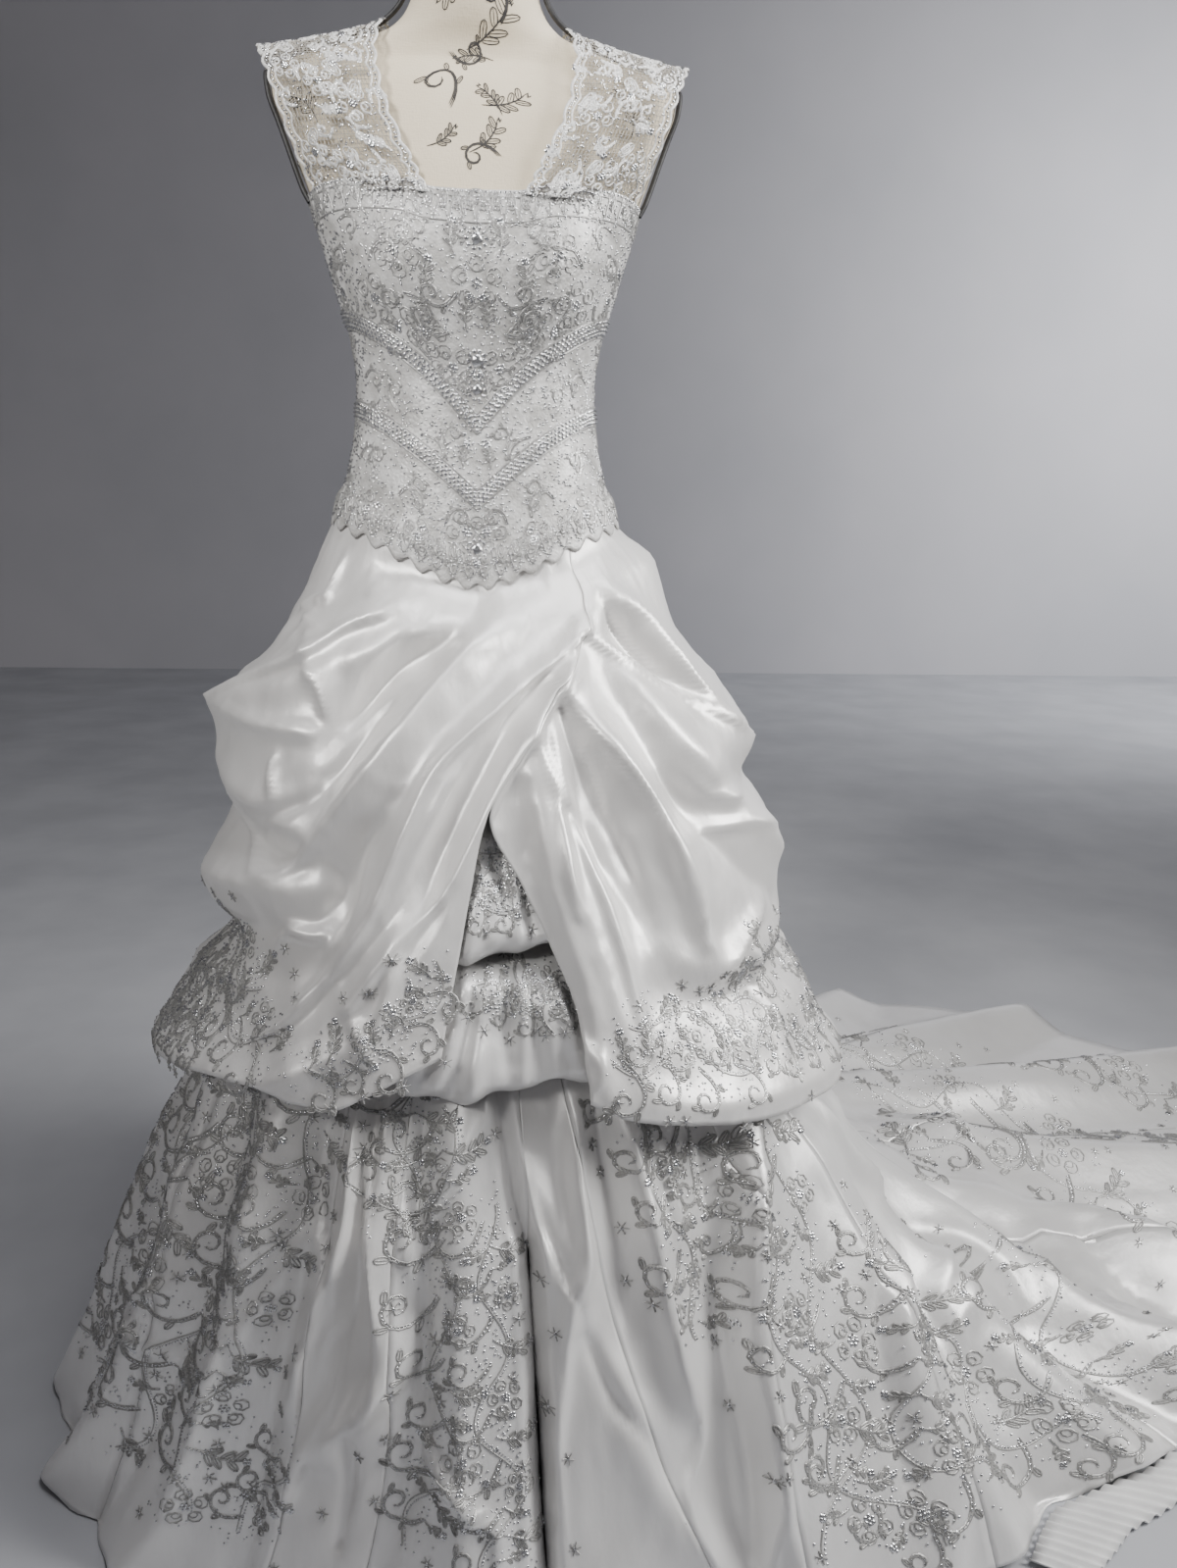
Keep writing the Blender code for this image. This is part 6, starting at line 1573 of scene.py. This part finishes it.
def strap_face(side):
    along = np.linspace(0, len(STRAP) - 1, STRAP_STEPS)[:, None]
    across = np.linspace(0, 1, 46)[None, :]
    along, across = np.broadcast_arrays(along, across)
    points = strap_points(across, along) * np.array((side, 1, 1))
    run = np.arange(1, LAP_ROWS + 1)[:, None, None]
    proud = np.array((0, 0.0012, 0))
    front = points[0] + run[::-1] * (points[0] - points[1]) - proud
    back = points[-1] + run * (points[-1] - points[-2]) + proud
    points = np.concatenate([front, points, back])
    over = LAP_ROWS * (len(STRAP) - 1.0) / (STRAP_STEPS - 1)
    face = Face(points, (0.0, 1.0), (-over, len(STRAP) - 1.0 + over))
    outward = points - np.array((0.0, 0.0, 1.22))
    if (face.normals * outward).sum() < 0:
        face.normals = -face.normals
    return face


white_cord = thread_metal("white_cord", (0.88, 0.875, 0.86), 0.10, 0.42)
tulle = thread_metal("tulle", (0.52, 0.49, 0.44), 0.0, 0.70)


def strap_net(face, last, over):
    """A slanted net of fine threads with rungs across."""
    net = Threads()
    t = np.linspace(0, 1, 16)
    for k in range(NET_SLANTS):
        for lean in (-1, 1):
            u = -0.35 + 1.7 * k / (NET_SLANTS - 1) + lean * 0.35 * (t - 0.5) * 2
            keep = (u > 0.01) & (u < 0.99)
            if keep.sum() > 2:
                v = (t * (last + 2 * over) - over)[keep]
                net.cord("net", *face.place(u[keep], v), 0.0005, 0.0004, 0.0)
    for k in range(NET_RUNGS):
        v = np.full(8, (last + 2 * over) * (k + 0.5) / NET_RUNGS - over)
        net.cord("net", *face.place(np.linspace(0.01, 0.99, 8), v), 0.0005, 0.0004, 0.0)
    return net


def strap_lace(name, side):
    """Cap strap: a fine net, scalloped double edges and close scrolls, leaves and flowers."""
    face = strap_face(side)
    last, over = face.v[1] + face.v[0], -face.v[0]
    work, net = Threads(), strap_net(face, last, over)
    steps = np.linspace(-over, last + over, 200)
    scallop = SCALLOP * np.abs(np.sin(steps * np.pi * 1.5))
    for edge, inward in ((0.0, 1), (1.0, -1)):
        for kind, off, width in EDGE_LINES:
            work.draw([(kind, *face.place(edge + inward * (off + SCALLOP - scallop), steps), width)])
    for v in (-over + 0.05, 0.02 - over / 2, last - 0.02 + over / 2, last + over - 0.05):
        work.draw([("string", *face.place(np.linspace(0.02, 0.98, 40), np.full(40, v)), 0.0026)])
    rng = np.random.default_rng(8)
    number = 0
    for row in range(LACE_ROWS):
        v = -0.2 + row * (last + 0.4) / (LACE_ROWS - 1)
        for column in range(LACE_COLUMNS):
            u = 0.15 + 0.165 * column + (0.08 if row % 2 else 0.0)
            if u > 0.88:
                continue
            kind = LACE_KINDS[number % len(LACE_KINDS)]
            number += 1
            size = rng.uniform(0.016, 0.023)
            turn = rng.uniform(0, 2 * np.pi)
            hand = side if number % 2 else -side
            motif = leaf(size, 0.5, 2) if kind == "leaf" else motif_of(kind, size, hand)
            work.draw(face.lay(u, v, turn if side > 0 else np.pi - turn, motif))
    u, v = rng.uniform(0.04, 0.96, 800), rng.uniform(-over, last + over, 800)
    work.draw([("bead", *face.place(u, v), 0.0022)])
    made = net.make(f"{name}_net", {"net": (tulle, "cord_lace")})
    made += work.make(f"{name}_lace", {"cord": (white_cord, "cord_lace"), "bead": (bead_glass, "cord_lace")})
    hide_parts(name)


strap_lace("strap_right", 1)
strap_lace("strap_left", -1)


# ---------------------------------------------------------------- dress form and stand
def linen():
    """Unbleached cloth, its weave drawn out both ways."""
    m = Nodes("form_linen")
    place = m.place()
    m.paint(m.noise(place, 7, 5), (0.30, (0.66, 0.57, 0.42)), (0.70, (0.78, 0.69, 0.54)))
    weft = m.bump(m.noise(place, 700, 2, 0.5, (1, 1, 0.2)), 0.4, 0.0006)
    m.relief(m.bump(m.noise(place, 700, 2, 0.5, (0.2, 0.2, 1)), 0.4, 0.0006, weft))
    m.set(Roughness=0.86, Sheen_Weight=0.2)
    return m.material


piping = plain_material("black_piping", (0.010, 0.010, 0.011), (0.030, 0.029, 0.030), 240, 0.55)
ink = plain_material("black_ink", (0.020, 0.018, 0.018), (0.060, 0.055, 0.050), 120, 0.8)
wood = plain_material("dark_wood", (0.028, 0.018, 0.012), (0.075, 0.048, 0.032), 22, 0.38)
enamel = plain_material("black_enamel", (0.012, 0.012, 0.013), (0.035, 0.035, 0.036), 60, 0.35, 0.3)
for part, finish in (("form_neck_cap", wood), ("form_pole", enamel), ("form_base", enamel)):
    NODES[part].data.materials[0] = finish


def torso():
    around = np.radians(np.linspace(0, 360, 81))
    heights = np.concatenate([np.linspace(FORM_BOTTOM, 1.22, 12), np.linspace(1.22, NECK_TOP, 64)[1:]])
    rows = []
    for height in heights[::-1]:
        width, front, back = (through(height, FORM[:, 0], FORM[:, k]) for k in (1, 2, 3))
        spread = np.arctan2(width * np.sin(around), np.where(np.cos(around) > 0, front, back) * np.cos(around))
        rows.append(at(spread, form_radius(spread, height), np.full(len(spread), height)))
    points = np.array(rows)
    count, columns = points.shape[:2]
    verts = points[:, :-1].reshape(-1, 3)
    index = np.arange(count * (columns - 1)).reshape(count, columns - 1)
    right = np.roll(index, -1, axis=1)
    quads = np.stack([index[1:], right[1:], right[:-1], index[:-1]], -1).reshape(-1, 4).tolist()
    quads.append(index[0].tolist())
    quads.append(index[-1].tolist()[::-1])
    made = add_mesh("torso_linen", verts, quads, linen())
    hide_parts("form_torso")


def tube(name, points, radius, finish):
    curve = bpy.data.curves.new(name, "CURVE")
    curve.dimensions = "3D"
    curve.bevel_depth = radius
    curve.bevel_resolution = 3
    spline = curve.splines.new("POLY")
    spline.points.add(len(points) - 1)
    for point, place in zip(spline.points, points):
        point.co = (*place, 1)
    made = bpy.data.objects.new(name, curve)
    bpy.context.scene.collection.objects.link(made)
    curve.materials.append(finish)
    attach(made, "root")


# edge of the arm plates: distance from the middle, depth, height
ARM_EDGE = np.array((
    (0.182, 0.004, 1.345), (0.1865, -0.008, 1.334), (0.1845, -0.012, 1.318), (0.1755, -0.014, 1.293),
    (0.1675, -0.018, 1.271), (0.1600, -0.022, 1.250), (0.1545, -0.026, 1.236), (0.1490, -0.028, 1.226),
))
NECK_EDGE = np.array((
    (0.128, -0.004, 1.3625), (0.103, -0.012, 1.3720), (0.084, -0.014, 1.3790), (0.068, -0.016, 1.3925),
    (0.060, -0.016, 1.4090), (0.056, -0.016, 1.4300), (0.055, -0.016, 1.4450),
))
# line ornament of the form's cloth: angle, height, turn, size, kind
ORNAMENTS = (
    (-20, 1.392, 15, 0.052, "sprig"), (10, 1.398, 165, 0.048, "sprig"), (26, 1.372, 60, 0.034, "scroll"),
    (-31, 1.350, -50, 0.036, "scroll"), (-12, 1.352, 20, 0.056, "sprig"), (20, 1.344, 150, 0.040, "sprig"),
    (-17, 1.296, 70, 0.046, "scroll"), (4, 1.300, -10, 0.044, "sprig"), (17, 1.292, 100, 0.038, "sprig"),
    (-27, 1.262, 10, 0.034, "sprig"), (-4, 1.258, 20, 0.046, "sprig"), (14, 1.256, 130, 0.034, "scroll"),
    (70, 1.285, 60, 0.044, "sprig"), (-70, 1.285, 110, 0.044, "sprig"), (150, 1.290, 30, 0.044, "scroll"),
    (172, 1.340, 80, 0.050, "sprig"), (190, 1.290, 140, 0.044, "scroll"), (212, 1.320, 20, 0.050, "sprig"),
)


def smooth_line(table):
    known = np.arange(len(table))
    steps = np.linspace(0, len(table) - 1, 60)
    return np.stack([through(steps, known, table[:, k]) for k in range(3)], -1)


def form_trim():
    for side, word in ((1, "right"), (-1, "left")):
        mirror = np.array((side, 1, 1))
        tube(f"arm_piping_{word}", smooth_line(ARM_EDGE) * mirror, 0.0025, piping)
        tube(f"neck_piping_{word}", smooth_line(NECK_EDGE) * mirror, 0.0024, piping)
    angle = np.radians(np.linspace(-90, 270, 240))[None, :]
    height = np.linspace(1.45, 1.23, 80)[:, None]
    angle, height = np.broadcast_arrays(angle, height)
    face = Face(at(angle, form_radius(angle, height), height), (-90.0, 270.0), (1.45, 1.23))
    work = Threads()
    for place, height, turn, size, kind in ORNAMENTS:
        for _, points, normals, width in face.lay(place, height, radians(turn), motif_of(kind, size, 1)):
            if len(points) > 1:
                work.cord("ink", points, normals, width * 0.5, 0.0002, 0.0003)
    work.make("form_ornament", {"ink": (ink, "form_linen")})


torso()
form_trim()


# ---------------------------------------------------------------- pleated lining
def lining():
    tones = ((0.3, (0.78, 0.78, 0.78)), (0.7, (0.88, 0.88, 0.87)))
    look = mottled("pleated_lining", tones, (30, 4), (500, 2), 0.25, 0.0005, Roughness=0.55, Sheen_Weight=0.2)
    columns = (LINING_PLEATS - 1) * 4 + 1
    angle = np.radians(np.linspace(*LINING_ANGLES, columns))[None, :]
    out = np.linspace(0, 1, 6)[:, None]
    pleat = 0.004 + 0.003 * np.cos(np.linspace(0, LINING_PLEATS - 1, columns) * np.pi)
    reach = LINING_REACH * np.sin(np.linspace(0.25, 0.75, columns) * np.pi)
    hem = under_surface(angle, np.ones_like(angle))
    radius = np.hypot(hem[..., 0], hem[..., 1]) + 0.006 + reach * out
    angle, height = np.broadcast_arrays(angle, pleat * np.ones_like(out) + FLOOR_SKIN)
    cloth("lining_hem", "pleats", at(angle, radius, height), look)


# ---------------------------------------------------------------- floor and light
ROOM, WALL_AT, WALL_HEIGHT = 12, 6.0, 9  # half width of the floor and wall, the wall's distance and height


def stage_plane(name, corners, finish):
    data = bpy.data.meshes.new(name)
    data.from_pydata(corners, [], [(0, 1, 2, 3)])
    data.materials.append(finish)
    made = bpy.data.objects.new(name, data)
    bpy.context.scene.collection.objects.link(made)


stage_plane(
    "floor", [(-ROOM, -ROOM, 0), (ROOM, -ROOM, 0), (ROOM, ROOM, 0), (-ROOM, ROOM, 0)],
    plain_material("studio_floor", (0.46, 0.47, 0.50), (0.54, 0.55, 0.58), 3, 0.75),
)
stage_plane(
    "backdrop", [(x, WALL_AT, z) for x, z in ((-ROOM, 0), (ROOM, 0), (ROOM, WALL_HEIGHT), (-ROOM, WALL_HEIGHT))],
    plain_material("backdrop", (0.58, 0.58, 0.61), (0.66, 0.65, 0.68), 0.6, 0.9),
)
lining()

# name, place, aim, width and height of its face, power, colour, spread in degrees
LIGHTS = (
    ("window", (1.95, -0.70, 1.95), (0.15, 0.0, 0.85), (0.9, 1.1), 27.0, (1.0, 0.99, 0.97), 105),
    ("fill", (-1.3, -1.9, 2.3), (-0.08, -0.1, 1.30), (0.6, 0.6), 4.5, (1.0, 0.985, 0.96), 42),
    ("low_fill", (-2.4, -1.6, 1.3), (0.0, 0.0, 0.6), (1.4, 1.4), 1.5, (1.0, 0.93, 0.90), 180),
    ("top", (0.5, -0.6, 2.8), (0.05, -0.05, 1.0), (0.9, 0.9), 9.0, (0.99, 0.985, 1.0), 110),
    ("wall_glow", (4.6, 3.6, 2.4), (3.2, 6.0, 1.6), (2.0, 2.6), 130.0, (0.97, 0.98, 1.0), 180),
)
for name, place, aim, size, power, colour, spread in LIGHTS:
    data = bpy.data.lights.new(name, "AREA")
    data.shape, (data.size, data.size_y) = "RECTANGLE", size
    data.energy, data.color, data.spread = power, colour, radians(spread)
    light = bpy.data.objects.new(name, data)
    light.location = place
    light.rotation_euler = (Vector(aim) - Vector(place)).to_track_quat("-Z", "Y").to_euler()
    bpy.context.scene.collection.objects.link(light)

world = bpy.data.worlds.new("studio")
world.use_nodes = True
world.node_tree.nodes["Background"].inputs[0].default_value = (0.64, 0.62, 0.64, 1)
world.node_tree.nodes["Background"].inputs[1].default_value = 0.17
bpy.context.scene.world = world

# ---------------------------------------------------------------- final update
bpy.context.view_layer.update()
